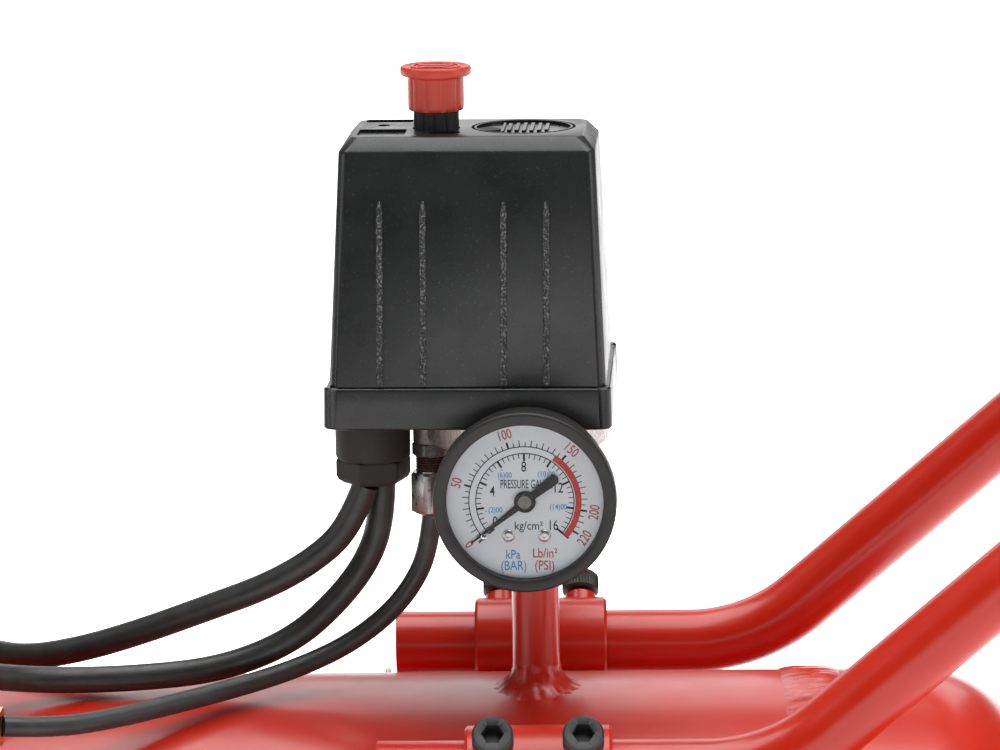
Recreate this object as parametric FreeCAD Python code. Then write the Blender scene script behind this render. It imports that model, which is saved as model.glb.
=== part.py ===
"""Air compressor, 24 litre, direct drive: one STEP file for each separate piece.

Millimetres, +Z up, +X along the tank towards the pull handle, -Y the front with the gauge.
The origin is on the floor at the centre of the machine's box.
"""
import FreeCAD, Part
import math
import os

V = FreeCAD.Vector
X = V(1, 0, 0)
Y = V(0, 1, 0)
Z = V(0, 0, 1)

# ---- driving dimensions -------------------------------------------------------------------
TANK_R = 120.0              # outside radius of the tank
TANK_WALL = 2.5
TANK_CLEAR = 62.0           # floor to the tank's underside
TANK_Z = TANK_CLEAR + TANK_R
TOP = TANK_Z + TANK_R       # height of the tank's top line
RISER_X = 51.0              # the riser pipe carries the switch, the gauge and the outlet
SEAM_RIGHT = RISER_X + 81.0
SEAM_LEFT = -242.0
HEAD_FLANGE = 33.0          # straight part of each dished head
HEAD_DEPTH = 70.0
HEAD_KNUCKLE = 35.0
SEAM_WIDTH = 18.0
SEAM_PROUD = 1.3

RISER_R = 7.1
RISER_BORE = 4.4
RISER_TOP = 55.0            # above the tank's top line
RISER_FLARE_R = 16.0
RISER_FLARE_H = 9.5

HANDLE_Y = 72.5             # the two arms' distance from the centre plane
HANDLE_R = 10.0
HANDLE_WALL = 1.5
HANDLE_DROP = 6.0           # arm axis below the tank's top line
HANDLE_START = RISER_X - 45.0
HANDLE_BEND_X = RISER_X + 68.9
HANDLE_SLOPE = math.radians(40.8)
HANDLE_END_X = 343.5
HANDLE_BEND_R = 55.0
HANDLE_CORNER_R = 30.0
GRIP_R = 13.5
GRIP_LENGTH = 84.0
SLEEVE_X = (RISER_X - 19.9, RISER_X + 21.9)
SLEEVE_R = 13.8
SLEEVE_BORE = 10.8
SLEEVE_Z = TOP - HANDLE_DROP + 0.4
SCREW_X = (SLEEVE_X[0] + 8.2, SLEEVE_X[1] - 8.2)
SCREW_LEAN = math.radians(45.0)
SCREW_R = 3.0
SCREW_TIP = 10.9            # distances from the sleeve's axis
SCREW_HEAD_FROM = 17.4
SCREW_HEAD_R = 5.9
SCREW_HEAD_H = 6.4
BOSS_R = 5.0

SWITCH_TURN = -2.09         # the switch and all that hangs on its manifold, turned about the riser
SWITCH_X = -18.0            # centre of the housing, from the riser
SWITCH_Y = 7.2
BASE_Z = (84.75, 97.0)      # heights above the tank's top line
BASE_HALF = (41.95, 36.0)
BASE_TOP_HALF = (41.3, 35.4)
COVER_FOOT_HALF = (40.3, 34.7)
COVER_SHOULDER_HALF = (37.4, 22.9)
COVER_TOP_HALF = (33.9, 19.15)
COVER_SHOULDER_Z = 164.4
COVER_TOP_Z = 168.4
COVER_WALL = 2.5
RIB_X = (-25.4, -12.8, 10.7, 23.1)       # from the housing's centre
RIB_Z = (98.0, 150.5)
PLAQUE_AT = (-2.4, 9.3)
PLAQUE_R = 15.4
KNOB_AT = (-28.05, 7.2)
KNOB_STEM_R = 6.7
KNOB_BODY_R = 8.3
KNOB_FLANGE_R = 10.45
KNOB_Z = (173.9, 184.0, 187.0)
KNOB_HOLE_GAP = 0.35

MANIFOLD_Z = (54.0, 76.5)
MANIFOLD_HALF = (14.0, 15.0)
DIAPHRAGM_R = 27.2
DIAPHRAGM_X = -4.6
PORT_Z = 68.0               # axis of the gauge and of the outlet, above the tank's top line
GAUGE_X = -0.6
GAUGE_FRONT = -50.2
GAUGE_BACK = -32.5
GAUGE_R = 26.4
GAUGE_CASE_R = 25.0
GAUGE_WINDOW_R = 22.6
DIAL_Y = -47.8
DIAL_R = 23.4
POINTER_ZERO = math.radians(218.0)
POINTER_TIP = 19.9
POINTER_TAIL = 11.9
LENS_Y = (-49.8, -49.2)

GLAND_AT = (-48.0, 0.0)
GLAND_R = 11.2
GLAND_HEX_CORNER = 11.35
GLAND_HEX_TURN = 13.3
GLAND_Z = (63.1, 70.9)
UNLOADER_X = -30.6
UNLOADER_Z = (53.3, 66.8, 71.3, 75.4)

REGULATOR_Y = 38.0
REGULATOR_R = 17.0
REGULATOR_Z = (52.5, 76.0)
REGULATOR_KNOB_R = 14.0
REGULATOR_KNOB_Z = (28.0, 52.0)
COUPLER_Y = (57.0, 64.0, 97.0)
COUPLER_R = 8.5
COUPLER_BORE = 5.0
COUPLER_SLEEVE_R = 11.5
COUPLER_SLEEVE_Y = (70.0, 94.0)

PLATFORM_X = (-330.0, -135.0)
PLATFORM_HALF_Y = 58.0
PLATFORM_Z = TOP + 10.0
SHEET = 3.0
MOUNT_X = (-292.0, -160.0)
MOUNT_Y = 42.0
MOUNT_R = 11.0
PUMP_FOOT_Z = TOP + 25.0
SHAFT_Z = TOP + 87.0
SHAFT_R = 8.0
SHAFT_GAP = 0.05            # radial clearance of a shaft in its bearing
CRANKCASE_X = (-203.0, -140.0)
CRANKCASE_R = 48.0
CRANKCASE_WALL = 6.0
CYLINDER_X = -172.0
BORE_R = 21.0
LINER_R = 25.0
FIN_HALF = (30.0, 38.0)
FIN_PITCH = 5.9
CYLINDER_Z = (TOP + 136.0, TOP + 172.0)
VALVE_PLATE = 4.0
HEAD_TOP = TOP + 202.0
HEAD_HALF = 36.0
PORT_HEAD_Z = TOP + 189.0
CRANK_THROW = 10.0
CRANKPIN_R = 6.0
ROD_LENGTH = 60.0
PISTON_R = 20.9
PISTON_Z = (TOP + 139.0, TOP + 170.0)
MOTOR_X = (-313.0, -203.0)
MOTOR_R = 62.0
MOTOR_WALL = 4.0
STATOR_X = (-295.0, -225.0)
ROTOR_R = 33.0
FAN_COVER_END = -357.0
FAN_R = 54.0

WHEEL_X = -255.0
WHEEL_R = 65.0
RIM_R = 44.0
WHEEL_Y = (116.0, 148.0)
AXLE_R = 6.0
BRACKET_HALF_Y = 106.0
WHEEL_BRACKET_X = (-287.0, -223.0)
FOOT_BRACKET_X = (118.0, 158.0)
FOOT_R = 18.0
FOOT_Y = 78.0
FOOT_H = 25.0

CHECK_AT = (-119.0, -60.0)
CHECK_Z = (TOP - 8.0, TOP + 26.0)
CHECK_PORT_Z = TOP + 6.0
PIPE_R = 5.0
DRAIN_X = -60.0
SAFETY_X = 0.0
SAFETY_LEAN = math.radians(61.0)
BOX_X = (-290.0, -215.0)
BOX_Y = (-98.0, -58.0)
BOX_Z = (TOP + 52.0, TOP + 112.0)
BUTTON_AT = (-250.0, TOP + 84.0)
BUTTON_R = 6.0

# ---- cords: points from the riser's axis at the tank's top line ----------------------------
CORD_R = 4.0
AIR_LINE_R = 3.0
MAINS_ROUTE = [(-50.2, -3.3, 63.1), (-54.9, -3.3, 51.0), (-64.5, -3.0, 41.2), (-79.5, -1.5, 32.6),
               (-99.0, 3.5, 25.0), (-119.0, 9.0, 17.5), (-138.0, 14.0, 11.5), (-156.0, 20.0, 7.5),
               (-171.0, 34.0, 5.0), (-178.0, 60.0, -1.5), (-179.0, 90.0, -22.0), (-178.0, 115.0, -52.0),
               (-176.0, 130.0, -92.0), (-174.0, 134.0, -135.0), (-175.0, 131.0, -180.0),
               (-172.0, 133.0, -225.0), (-163.0, 131.0, -266.0), (-143.0, 122.0, -293.0),
               (-112.0, 105.0, -297.8), (-82.0, 82.0, -297.9), (-56.0, 60.0, -297.7),
               (-32.0, 50.0, -297.8)]
LEAD_ROUTE = [(-45.4, 3.3, 63.1), (-45.7, 3.2, 52.5), (-49.5, 2.6, 39.7), (-59.0, 1.0, 27.0),
              (-73.0, -1.5, 15.0), (-94.0, -4.5, 7.2), (-119.0, -7.0, 5.2), (-144.0, -9.5, 5.4),
              (-163.0, -21.0, 10.0), (-180.0, -43.0, 20.0), (-193.0, -65.0, 34.0),
              (-206.0, -78.0, 48.0), (-219.0, -82.5, 61.0), (-233.0, -83.4, 70.5), (-249.0, -83.0, 74.0)]
AIR_LINE_ROUTE = [(-30.6, 0.0, 53.3), (-31.8, 0.0, 42.5), (-36.5, -0.5, 32.0), (-44.5, -1.5, 22.5),
                  (-57.0, -4.0, 13.8), (-72.0, -9.0, 8.2), (-88.5, -17.0, 5.0), (-106.0, -29.0, 3.5),
                 (-123.0, -42.0, 2.8),
                  (-139.0, -54.0, 3.6), (-153.0, -60.0, 6.0)]
COIL_AT = (24.0, 0.0)       # centre of the wound cord on the floor
COIL_R = (42.0, 50.0)       # the turns' radii
PLUG_AT = (-42.0, -66.0)
BEND_SHARE = 0.45


# ---- small helpers ---------------------------------------------------------------------------
def rod(radius, start, end):
    """A round bar between two points."""
    a = V(*start)
    b = V(*end)
    return Part.makeCylinder(radius, (b - a).Length, a, b - a)


def pipe(outer, inner, start, end):
    return rod(outer, start, end).cut(rod(inner, start, end))


def block(x, y, z):
    """A box from three (low, high) pairs."""
    return Part.makeBox(x[1] - x[0], y[1] - y[0], z[1] - z[0], V(x[0], y[0], z[0]))


def around(centre, half):
    return (centre - half, centre + half)


def hex_bar(flats, start, end, turn=0.0):
    """A hexagonal bar, its first corner turned from a fixed side direction."""
    a = V(*start)
    axis = (V(*end) - a).normalize()
    side = axis.cross(Z) if abs(axis.z) < 0.9 else X
    side = side.normalize()
    across = axis.cross(side)
    corner = flats / math.sqrt(3.0)
    ring = []
    for k in range(6):
        angle = math.radians(60.0 * k + turn)
        ring.append(a + side * (corner * math.cos(angle)) + across * (corner * math.sin(angle)))
    face = Part.Face(Part.makePolygon(ring + [ring[0]]))
    return face.extrude(V(*end) - a)


def turned(points, base, axis):
    """A closed outline revolved about an axis."""
    face = Part.Face(Part.makePolygon([V(*p) for p in points] + [V(*points[0])]))
    return outward(face.revolve(V(*base), axis, 360.0))


def outward(solid):
    """The solid with its faces turned to the outside."""
    if solid.Volume < 0:
        solid.reverse()
    return solid


def fuse(shapes):
    return shapes[0].multiFuse(shapes[1:]).removeSplitter()


def group(shapes):
    return Part.makeCompound(shapes)


def frustum(low_half, high_half, low_z, high_z, centre):
    """A four-sided block that narrows upwards."""
    rings = []
    for half, z in ((low_half, low_z), (high_half, high_z)):
        ring = [V(centre[0] + sx * half[0], centre[1] + sy * half[1], z)
                for sx, sy in ((-1, -1), (1, -1), (1, 1), (-1, 1))]
        rings.append(Part.makePolygon(ring + [ring[0]]))
    return Part.makeLoft(rings, True, True)


def bent_path(points, radii):
    """Straight runs joined by tangent arcs."""
    edges = []
    at = points[0]
    for i in range(1, len(points) - 1):
        before = (points[i - 1] - points[i]).normalize()
        after = (points[i + 1] - points[i]).normalize()
        half_turn = (math.pi - before.getAngle(after)) / 2.0
        reach = radii[i - 1] * math.tan(half_turn)
        start = points[i] + before * reach
        end = points[i] + after * reach
        centre_line = (before + after).normalize()
        middle = points[i] + centre_line * (radii[i - 1] / math.cos(half_turn) - radii[i - 1])
        edges.append(Part.LineSegment(at, start).toShape())
        edges.append(Part.Arc(start, middle, end).toShape())
        at = end
    edges.append(Part.LineSegment(at, points[-1]).toShape())
    return Part.Wire(edges)


def swept(path, radius):
    start = path.Edges[0]
    way = start.tangentAt(start.FirstParameter)
    circle = Part.Wire([Part.makeCircle(radius, start.valueAt(start.FirstParameter), way)])
    return path.makePipeShell([circle], True, False)


def cord_tube(points, radius, name):
    """A cord's plain tube, with each bend as large as its two runs allow."""
    radii = []
    for i in range(1, len(points) - 1):
        before = points[i] - points[i - 1]
        after = points[i + 1] - points[i]
        half_turn = before.getAngle(after) / 2.0
        radii.append(BEND_SHARE * min(before.Length, after.Length) / math.tan(half_turn))
    path = bent_path(points, radii)
    tube = swept(path, radius)
    expected = math.pi * radius ** 2 * path.Length
    print(name, "length", round(path.Length, 1), "volume ratio", round(tube.Volume / expected, 4),
          "least radius", round(min(radii), 1), "radii", [round(r) for r in radii])
    return tube


def from_riser(route):
    return [V(RISER_X + x, y, TOP + z) for x, y, z in route]


def riser_group(shape):
    """Moves a shape from riser coordinates to its place, with the switch's turn."""
    shape = shape.copy()
    shape.rotate(V(0, 0, 0), Z, SWITCH_TURN)
    shape.translate(V(RISER_X, 0, TOP))
    return shape


def tank_solid():
    """The tank's outside as a plain bar, with its two seam welds."""
    bar = Part.makeCylinder(TANK_R, 700.0, V(-350, 0, TANK_Z), X)
    for seam in (SEAM_LEFT, SEAM_RIGHT):
        half = SEAM_WIDTH / 2.0 + 0.5
        bar = bar.fuse(rod(TANK_R + SEAM_PROUD + 0.05, (seam - half, 0, TANK_Z), (seam + half, 0, TANK_Z)))
    return bar


# ---- tank ------------------------------------------------------------------------------------
def tank_shell():
    half = SEAM_WIDTH / 2.0
    shell = pipe(TANK_R, TANK_R - TANK_WALL, (SEAM_LEFT + half, 0, TANK_Z), (SEAM_RIGHT - half, 0, TANK_Z))
    shell = shell.cut(rod(RISER_R, (RISER_X, 0, TOP - 20), (RISER_X, 0, TOP + 20)))
    shell = shell.cut(rod(11.0, (*CHECK_AT, TOP - 60), (*CHECK_AT, TOP)))
    shell = shell.cut(rod(12.0, (DRAIN_X, 0, TANK_CLEAR - 10), (DRAIN_X, 0, TANK_CLEAR + 10)))
    return shell.cut(safety_bar(11.0, -20.0, 20.0))


def head_solid(seam, way, wall):
    """Flange, knuckle and crown of a dished end as a full solid, smaller by a wall."""
    knee = V(seam + way * HEAD_FLANGE, 0, TANK_Z)
    apex = knee + X * (way * (HEAD_DEPTH - wall))
    knuckle = HEAD_KNUCKLE - wall
    side = TANK_R - HEAD_KNUCKLE
    crown = (HEAD_DEPTH ** 2 + side ** 2 - HEAD_KNUCKLE ** 2) / (2.0 * (HEAD_DEPTH - HEAD_KNUCKLE))
    centre = knee + X * (way * (HEAD_DEPTH - crown))
    joint_angle = math.atan2(side, crown - HEAD_DEPTH)

    def on_arc(middle, radius, angle):
        return middle + X * (way * radius * math.cos(angle)) + Z * (radius * math.sin(angle))

    knuckle_centre = knee + Z * side
    rim = on_arc(knuckle_centre, knuckle, math.pi / 2.0)
    joint = on_arc(knuckle_centre, knuckle, joint_angle)
    halfway = on_arc(knuckle_centre, knuckle, (math.pi / 2.0 + joint_angle) / 2.0)
    on_crown = on_arc(centre, crown - wall, joint_angle / 2.0)
    start = V(seam, 0, TANK_Z)
    edges = [Part.LineSegment(start, start + Z * (TANK_R - wall)).toShape(),
             Part.LineSegment(start + Z * (TANK_R - wall), rim).toShape(),
             Part.Arc(rim, halfway, joint).toShape(), Part.Arc(joint, on_crown, apex).toShape(),
             Part.LineSegment(apex, start).toShape()]
    return outward(Part.Face(Part.Wire(edges)).revolve(start, X, 360.0))


def tank_head(seam, way):
    """A dished end with its straight flange, trimmed to the edge of its seam weld."""
    trimmed = rod(TANK_R + 1, (seam - way, 0, TANK_Z), (seam + way * SEAM_WIDTH / 2.0, 0, TANK_Z))
    return head_solid(seam, way, 0.0).cut(head_solid(seam, way, TANK_WALL)).cut(trimmed)


def weld_beads():
    """Seam welds, the riser's flared weld and the welds under the handle sleeves."""
    beads = []
    for seam in (SEAM_LEFT, SEAM_RIGHT):
        half = SEAM_WIDTH / 2.0
        corners = [V(seam + half, 0, TOP), V(seam + half, 0, TOP - TANK_WALL),
                   V(seam - half, 0, TOP - TANK_WALL),
                   V(seam - half, 0, TOP)]
        edges = [Part.LineSegment(a, b).toShape() for a, b in zip(corners, corners[1:])]
        edges.append(Part.Arc(corners[3], V(seam, 0, TOP + SEAM_PROUD), corners[0]).toShape())
        beads.append(outward(Part.Face(Part.Wire(edges)).revolve(V(0, 0, TANK_Z), X, 360.0)))
    a = V(RISER_R, 0, RISER_FLARE_H)
    b = V(RISER_FLARE_R, 0, 0.3)
    middle = V(RISER_R + 2.6, 0, 2.6)
    edges = [Part.Arc(a, middle, b).toShape(), Part.LineSegment(b, V(RISER_FLARE_R, 0, -3)).toShape(),
             Part.LineSegment(V(RISER_FLARE_R, 0, -3), V(RISER_R, 0, -3)).toShape(),
             Part.LineSegment(V(RISER_R, 0, -3), a).toShape()]
    flare = outward(Part.Face(Part.Wire(edges)).revolve(V(0, 0, 0), Z, 360.0))
    flare.translate(V(RISER_X, 0, TOP))
    beads.append(flare.cut(tank_solid()))
    for side in (-1, 1):
        weld = block((SLEEVE_X[0] + 3, SLEEVE_X[1] - 3), (-6, 6), (TANK_R - 5, TANK_R + 14))
        weld.rotate(V(0, 0, 0), X, -side * math.degrees(math.atan2(HANDLE_Y, SLEEVE_Z - TANK_Z)))
        weld.translate(V(0, 0, TANK_Z))
        weld = weld.cut(tank_solid())
        ends = [(x, side * HANDLE_Y, SLEEVE_Z) for x in SLEEVE_X]
        sleeve = rod(SLEEVE_R, *ends)
        solids = weld.cut(sleeve).Solids
        beads.append(min(solids, key=lambda s: (s.CenterOfMass - V(SLEEVE_X[0], 0, TANK_Z)).Length))
    return group(beads)


def tank_sockets():
    """Riser pipe and the welded sockets for the check valve, the drain and the safety valve."""
    riser = pipe(RISER_R, RISER_BORE, (RISER_X, 0, TOP - 6), (RISER_X, 0, TOP + RISER_TOP))
    check = pipe(11.0, 6.6, (*CHECK_AT, TOP - 30), (*CHECK_AT, CHECK_Z[0]))
    drain = pipe(12.0, 6.6, (DRAIN_X, 0, 50), (DRAIN_X, 0, 66))
    safety = safety_bar(11.0, -6.0, 9.0).cut(safety_bar(6.6, -6.0, 9.0))
    return group([riser, check, drain, safety])


# ---- handle ------------------------------------------------------------------------------------
def handle_path():
    z = TOP - HANDLE_DROP
    far_z = z + (HANDLE_END_X - HANDLE_BEND_X) * math.tan(HANDLE_SLOPE)
    points = [V(HANDLE_START, -HANDLE_Y, z), V(HANDLE_BEND_X, -HANDLE_Y, z), V(HANDLE_END_X, -HANDLE_Y, far_z),
              V(HANDLE_END_X, HANDLE_Y, far_z), V(HANDLE_BEND_X, HANDLE_Y, z), V(HANDLE_START, HANDLE_Y, z)]
    return bent_path(points, [HANDLE_BEND_R, HANDLE_CORNER_R, HANDLE_CORNER_R, HANDLE_BEND_R]), far_z


def handle_tube():
    path, _ = handle_path()
    return swept(path, HANDLE_R).cut(swept(path, HANDLE_R - HANDLE_WALL))


def handle_grip():
    _, z = handle_path()
    half = GRIP_LENGTH / 2.0
    ends = ((HANDLE_END_X, -half, z), (HANDLE_END_X, half, z))
    grip = rod(GRIP_R, *ends)
    grip = grip.makeFillet(3.0, [e for e in grip.Edges if e.Closed])
    return grip.cut(rod(HANDLE_R, *ends))


def screw_way(side):
    return V(0, side * math.sin(SCREW_LEAN), math.cos(SCREW_LEAN))


def screw_bar(x, side, radius, start, end):
    """A round bar on a clamp screw's axis, between two distances from the sleeve's axis."""
    centre = V(x, side * HANDLE_Y, SLEEVE_Z)
    way = screw_way(side)
    return rod(radius, centre + way * start, centre + way * end)


def handle_sleeves():
    sleeves = []
    for side in (-1, 1):
        ends = ((SLEEVE_X[0], side * HANDLE_Y, SLEEVE_Z), (SLEEVE_X[1], side * HANDLE_Y, SLEEVE_Z))
        sleeve = rod(SLEEVE_R, *ends)
        for x in SCREW_X:
            sleeve = sleeve.fuse(screw_bar(x, side, BOSS_R, SLEEVE_BORE + 1.0, SCREW_HEAD_FROM - 0.7))
        sleeve = sleeve.cut(rod(SLEEVE_BORE, *ends))
        for x in SCREW_X:
            sleeve = sleeve.cut(screw_bar(x, side, SCREW_R + SHAFT_GAP, 0.0, 30.0))
        sleeves.append(sleeve)
    return group(sleeves)


def clamp_screw(x, side):
    """Socket-head clamp screw that holds a handle arm."""
    shank = screw_bar(x, side, SCREW_R, SCREW_TIP, SCREW_HEAD_FROM + 1.0)
    head = screw_bar(x, side, SCREW_HEAD_R, SCREW_HEAD_FROM, SCREW_HEAD_FROM + SCREW_HEAD_H)
    head = head.makeFillet(0.8, [e for e in head.Edges if e.Closed])
    centre = V(x, side * HANDLE_Y, SLEEVE_Z)
    way = screw_way(side)
    socket = hex_bar(5.0, centre + way * (SCREW_HEAD_FROM + 2.4), centre + way * (SCREW_HEAD_FROM + 9.0))
    return fuse([shank, head]).cut(socket)


# ---- undercarriage -------------------------------------------------------------------------------
def cradle(x, bottom, plate_gap):
    """A bent sheet that wraps under the tank, welded to it by its two upright ears."""
    outer = block(x, (-BRACKET_HALF_Y, BRACKET_HALF_Y), (bottom, TANK_Z - 20))
    inner = block((x[0] - 1, x[1] + 1), around(0.0, BRACKET_HALF_Y - SHEET), (bottom + SHEET, TANK_Z))
    hugging = block(x, around(0.0, plate_gap), (bottom + SHEET, TANK_CLEAR + 30))
    hugging = hugging.cut(block((x[0] + SHEET, x[1] - SHEET), around(0.0, plate_gap), (bottom, TANK_Z)))
    return fuse([outer.cut(inner), hugging]).cut(tank_solid())


def wheel_bracket():
    bracket = cradle(WHEEL_BRACKET_X, 50.0, 40.0)
    return bracket.cut(rod(AXLE_R, (WHEEL_X, -130, WHEEL_R), (WHEEL_X, 130, WHEEL_R)))


def foot_bracket():
    bracket = cradle(FOOT_BRACKET_X, FOOT_H, 30.0)
    x = sum(FOOT_BRACKET_X) / 2.0
    for side in (-1, 1):
        bracket = bracket.cut(rod(4.0, (x, side * FOOT_Y, 0), (x, side * FOOT_Y, 60)))
    return bracket


def rubber_feet():
    x = sum(FOOT_BRACKET_X) / 2.0
    feet = []
    for side in (-1, 1):
        y = side * FOOT_Y
        outline = [(x, y, 3), (x, y, 7), (x + 4, y, 7), (x + 4, y, FOOT_H), (x + 13, y, FOOT_H),
                   (x + FOOT_R, y, 2),
                   (x + FOOT_R - 2, y, 0), (x + 8, y, 0), (x + 8, y, 3)]
        feet.append(turned(outline, (x, y, 0), Z))
        feet.append(rod(3.9, (x, y, 7.2), (x, y, FOOT_H + SHEET)).fuse(
            hex_bar(13.0, (x, y, FOOT_H + SHEET), (x, y, FOOT_H + SHEET + 6.5))))
    return group(feet)


def wheel(side):
    """A plastic wheel with five spokes and a solid rubber tyre."""
    low, high = WHEEL_Y
    y0, y1 = side * low, side * high
    mid = (y0 + y1) / 2.0
    tyre = turned([(RIM_R, y0 + side * 3, 0), (WHEEL_R - 6, y0, 0), (WHEEL_R, y0 + side * 6, 0),
                   (WHEEL_R, y1 - side * 6, 0), (WHEEL_R - 6, y1, 0), (RIM_R, y1 - side * 3, 0)], (0, 0, 0), Y)
    rim = pipe(RIM_R, RIM_R - 5, (0, y0 + side * 3, 0), (0, y1 - side * 3, 0))
    hub = rod(13.0, (0, y0 - side * 6, 0), (0, y1 - side * 2, 0))
    disc = rod(RIM_R - 2, (0, mid - 2.5, 0), (0, mid + 2.5, 0))
    spokes = []
    for k in range(5):
        spoke = block(around(0.0, 4.0), (min(y0, y1) + 6, max(y0, y1) - 6), (10, RIM_R - 3))
        spoke.rotate(V(0, 0, 0), Y, 72.0 * k)
        spokes.append(spoke)
        window = rod(8.0, (0, mid - 10, 27), (0, mid + 10, 27))
        window.rotate(V(0, 0, 0), Y, 72.0 * k + 36.0)
        disc = disc.cut(window)
    bore = rod(AXLE_R + SHAFT_GAP, (0, y0 - side * 9, 0), (0, y1 + side * 9, 0))
    body = fuse([rim, hub, disc] + spokes).cut(bore)
    wheel_set = group([body, tyre])
    wheel_set.translate(V(WHEEL_X, 0, WHEEL_R))
    return wheel_set


def wheel_bolts():
    """Shoulder bolts that carry the wheels, each with its nut inside the bracket."""
    bolts = []
    for side in (-1, 1):
        inner = BRACKET_HALF_Y - SHEET
        shank = rod(AXLE_R, (WHEEL_X, side * (inner - 9), WHEEL_R), (WHEEL_X, side * 148.0, WHEEL_R))
        head = rod(10.0, (WHEEL_X, side * 147.0, WHEEL_R), (WHEEL_X, side * 152.0, WHEEL_R))
        nut = hex_bar(19.0, (WHEEL_X, side * inner, WHEEL_R), (WHEEL_X, side * (inner - 8), WHEEL_R))
        collar_y = (side * BRACKET_HALF_Y, side * (BRACKET_HALF_Y + 3.5))
        collar = rod(9.0, (WHEEL_X, collar_y[0], WHEEL_R), (WHEEL_X, collar_y[1], WHEEL_R))
        bolts.append(fuse([shank, head, nut, collar]))
    return group(bolts)


# ---- valves and pipes on the tank -------------------------------------------------------------------
def check_valve():
    low, high = CHECK_Z
    at = CHECK_AT
    thread = rod(6.5, (*at, low - 14), (*at, low))
    body = hex_bar(17.0, (*at, low), (*at, high - 12))
    top = rod(7.0, (*at, high - 12), (*at, high - 9))
    nut = hex_bar(16.0, (*at, high - 9), (*at, high))
    port = rod(4.5, (at[0], at[1], CHECK_PORT_Z), (at[0] + 11.0, at[1], CHECK_PORT_Z))
    port_nut = hex_bar(10.0, (at[0] + 11.0, at[1], CHECK_PORT_Z), (at[0] + 17.0, at[1], CHECK_PORT_Z))
    return fuse([thread, body, top, nut, port, port_nut]).cut(rod(3.5, (*at, low - 14), (*at, high - 20)))


def delivery_pipe():
    """The cooling pipe from the cylinder head down to the check valve, with its end nuts."""
    start = V(*CHECK_AT, CHECK_Z[1])
    points = [start, V(*CHECK_AT, PORT_HEAD_Z), V(CYLINDER_X, CHECK_AT[1], PORT_HEAD_Z),
              V(CYLINDER_X, -HEAD_HALF, PORT_HEAD_Z)]
    path = bent_path(points, [20.0, 15.0])
    tube = swept(path, PIPE_R)
    nut = hex_bar(16.0, (CYLINDER_X, -HEAD_HALF, PORT_HEAD_Z), (CYLINDER_X, -HEAD_HALF - 8, PORT_HEAD_Z))
    return fuse([tube, nut]).cut(swept(path, PIPE_R - 1.0))


def safety_bar(radius, start, end):
    """A round bar on the safety valve's axis, between two distances from the tank's skin."""
    way = V(0, math.sin(SAFETY_LEAN), math.cos(SAFETY_LEAN))
    centre = V(SAFETY_X, 0, TANK_Z)
    return rod(radius, centre + way * (TANK_R + start), centre + way * (TANK_R + end))


def safety_valve():
    way = V(0, math.sin(SAFETY_LEAN), math.cos(SAFETY_LEAN))
    centre = V(SAFETY_X, 0, TANK_Z)
    hexed = hex_bar(14.0, centre + way * (TANK_R + 9), centre + way * (TANK_R + 17))
    body = [safety_bar(6.5, 0.0, 9.0), hexed, safety_bar(6.6, 17.0, 30.0), safety_bar(7.6, 28.0, 30.0)]
    return fuse(body).cut(safety_bar(1.6, 0.0, 30.0))


def safety_ring():
    """The stem with its pull ring."""
    way = V(0, math.sin(SAFETY_LEAN), math.cos(SAFETY_LEAN))
    end = V(SAFETY_X, 0, TANK_Z) + way * (TANK_R + 32.5 + 8.0)
    ring = Part.makeTorus(8.0, 1.1, end, X)
    return fuse([safety_bar(1.5, 12.0, 33.5), ring])


def drain_cock():
    top = 50.0
    thread = rod(6.5, (DRAIN_X, 0, top - 1), (DRAIN_X, 0, top + 12))
    body = hex_bar(15.0, (DRAIN_X, 0, top - 9), (DRAIN_X, 0, top - 0.4))
    stem = rod(4.0, (DRAIN_X, 0, top - 18), (DRAIN_X, 0, top - 9))
    wings = block(around(DRAIN_X, 13.0), (-2.0, 2.0), (top - 22, top - 12))
    wings = wings.makeFillet(1.6, [e for e in wings.Edges if abs(e.tangentAt(e.FirstParameter).y) > 0.9])
    return fuse([thread.cut(rod(2.0, (DRAIN_X, 0, top), (DRAIN_X, 0, top + 12))), body, stem, wings])


# ---- pump and motor ------------------------------------------------------------------------------------
def pump_platform():
    outer = block(PLATFORM_X, (-PLATFORM_HALF_Y, PLATFORM_HALF_Y), (TOP - 40, PLATFORM_Z + SHEET))
    inner_x = (PLATFORM_X[0] - 1, PLATFORM_X[1] + 1)
    inner = block(inner_x, around(0.0, PLATFORM_HALF_Y - SHEET), (TOP - 60, PLATFORM_Z))
    plate = outer.cut(inner).cut(tank_solid())
    for x in MOUNT_X:
        for side in (-1, 1):
            plate = plate.cut(rod(4.2, (x, side * MOUNT_Y, TOP), (x, side * MOUNT_Y, TOP + 20)))
    return plate


def vibration_mounts():
    """Rubber buffers under the pump's feet, each with its stud and two nuts."""
    solids = []
    for x in MOUNT_X:
        for side in (-1, 1):
            y = side * MOUNT_Y
            low = PLATFORM_Z + SHEET
            waist = (x + MOUNT_R - 1.5, y, (low + PUMP_FOOT_Z) / 2)
            rubber = turned([(x, y, low), (x + MOUNT_R, y, low), waist,
                             (x + MOUNT_R, y, PUMP_FOOT_Z), (x, y, PUMP_FOOT_Z)], (x, y, 0), Z)
            stud = rod(3.9, (x, y, PUMP_FOOT_Z), (x, y, PUMP_FOOT_Z + 12.5))
            nut = hex_bar(13.0, (x, y, PUMP_FOOT_Z + 6), (x, y, PUMP_FOOT_Z + 12.5))
            under_nut = hex_bar(11.0, (x, y, low - SHEET - 5), (x, y, low - SHEET))
            lower = rod(3.9, (x, y, low - 9), (x, y, low)).fuse(under_nut)
            solids += [fuse([rubber, stud, nut, lower])]
    return group(solids)


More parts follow.
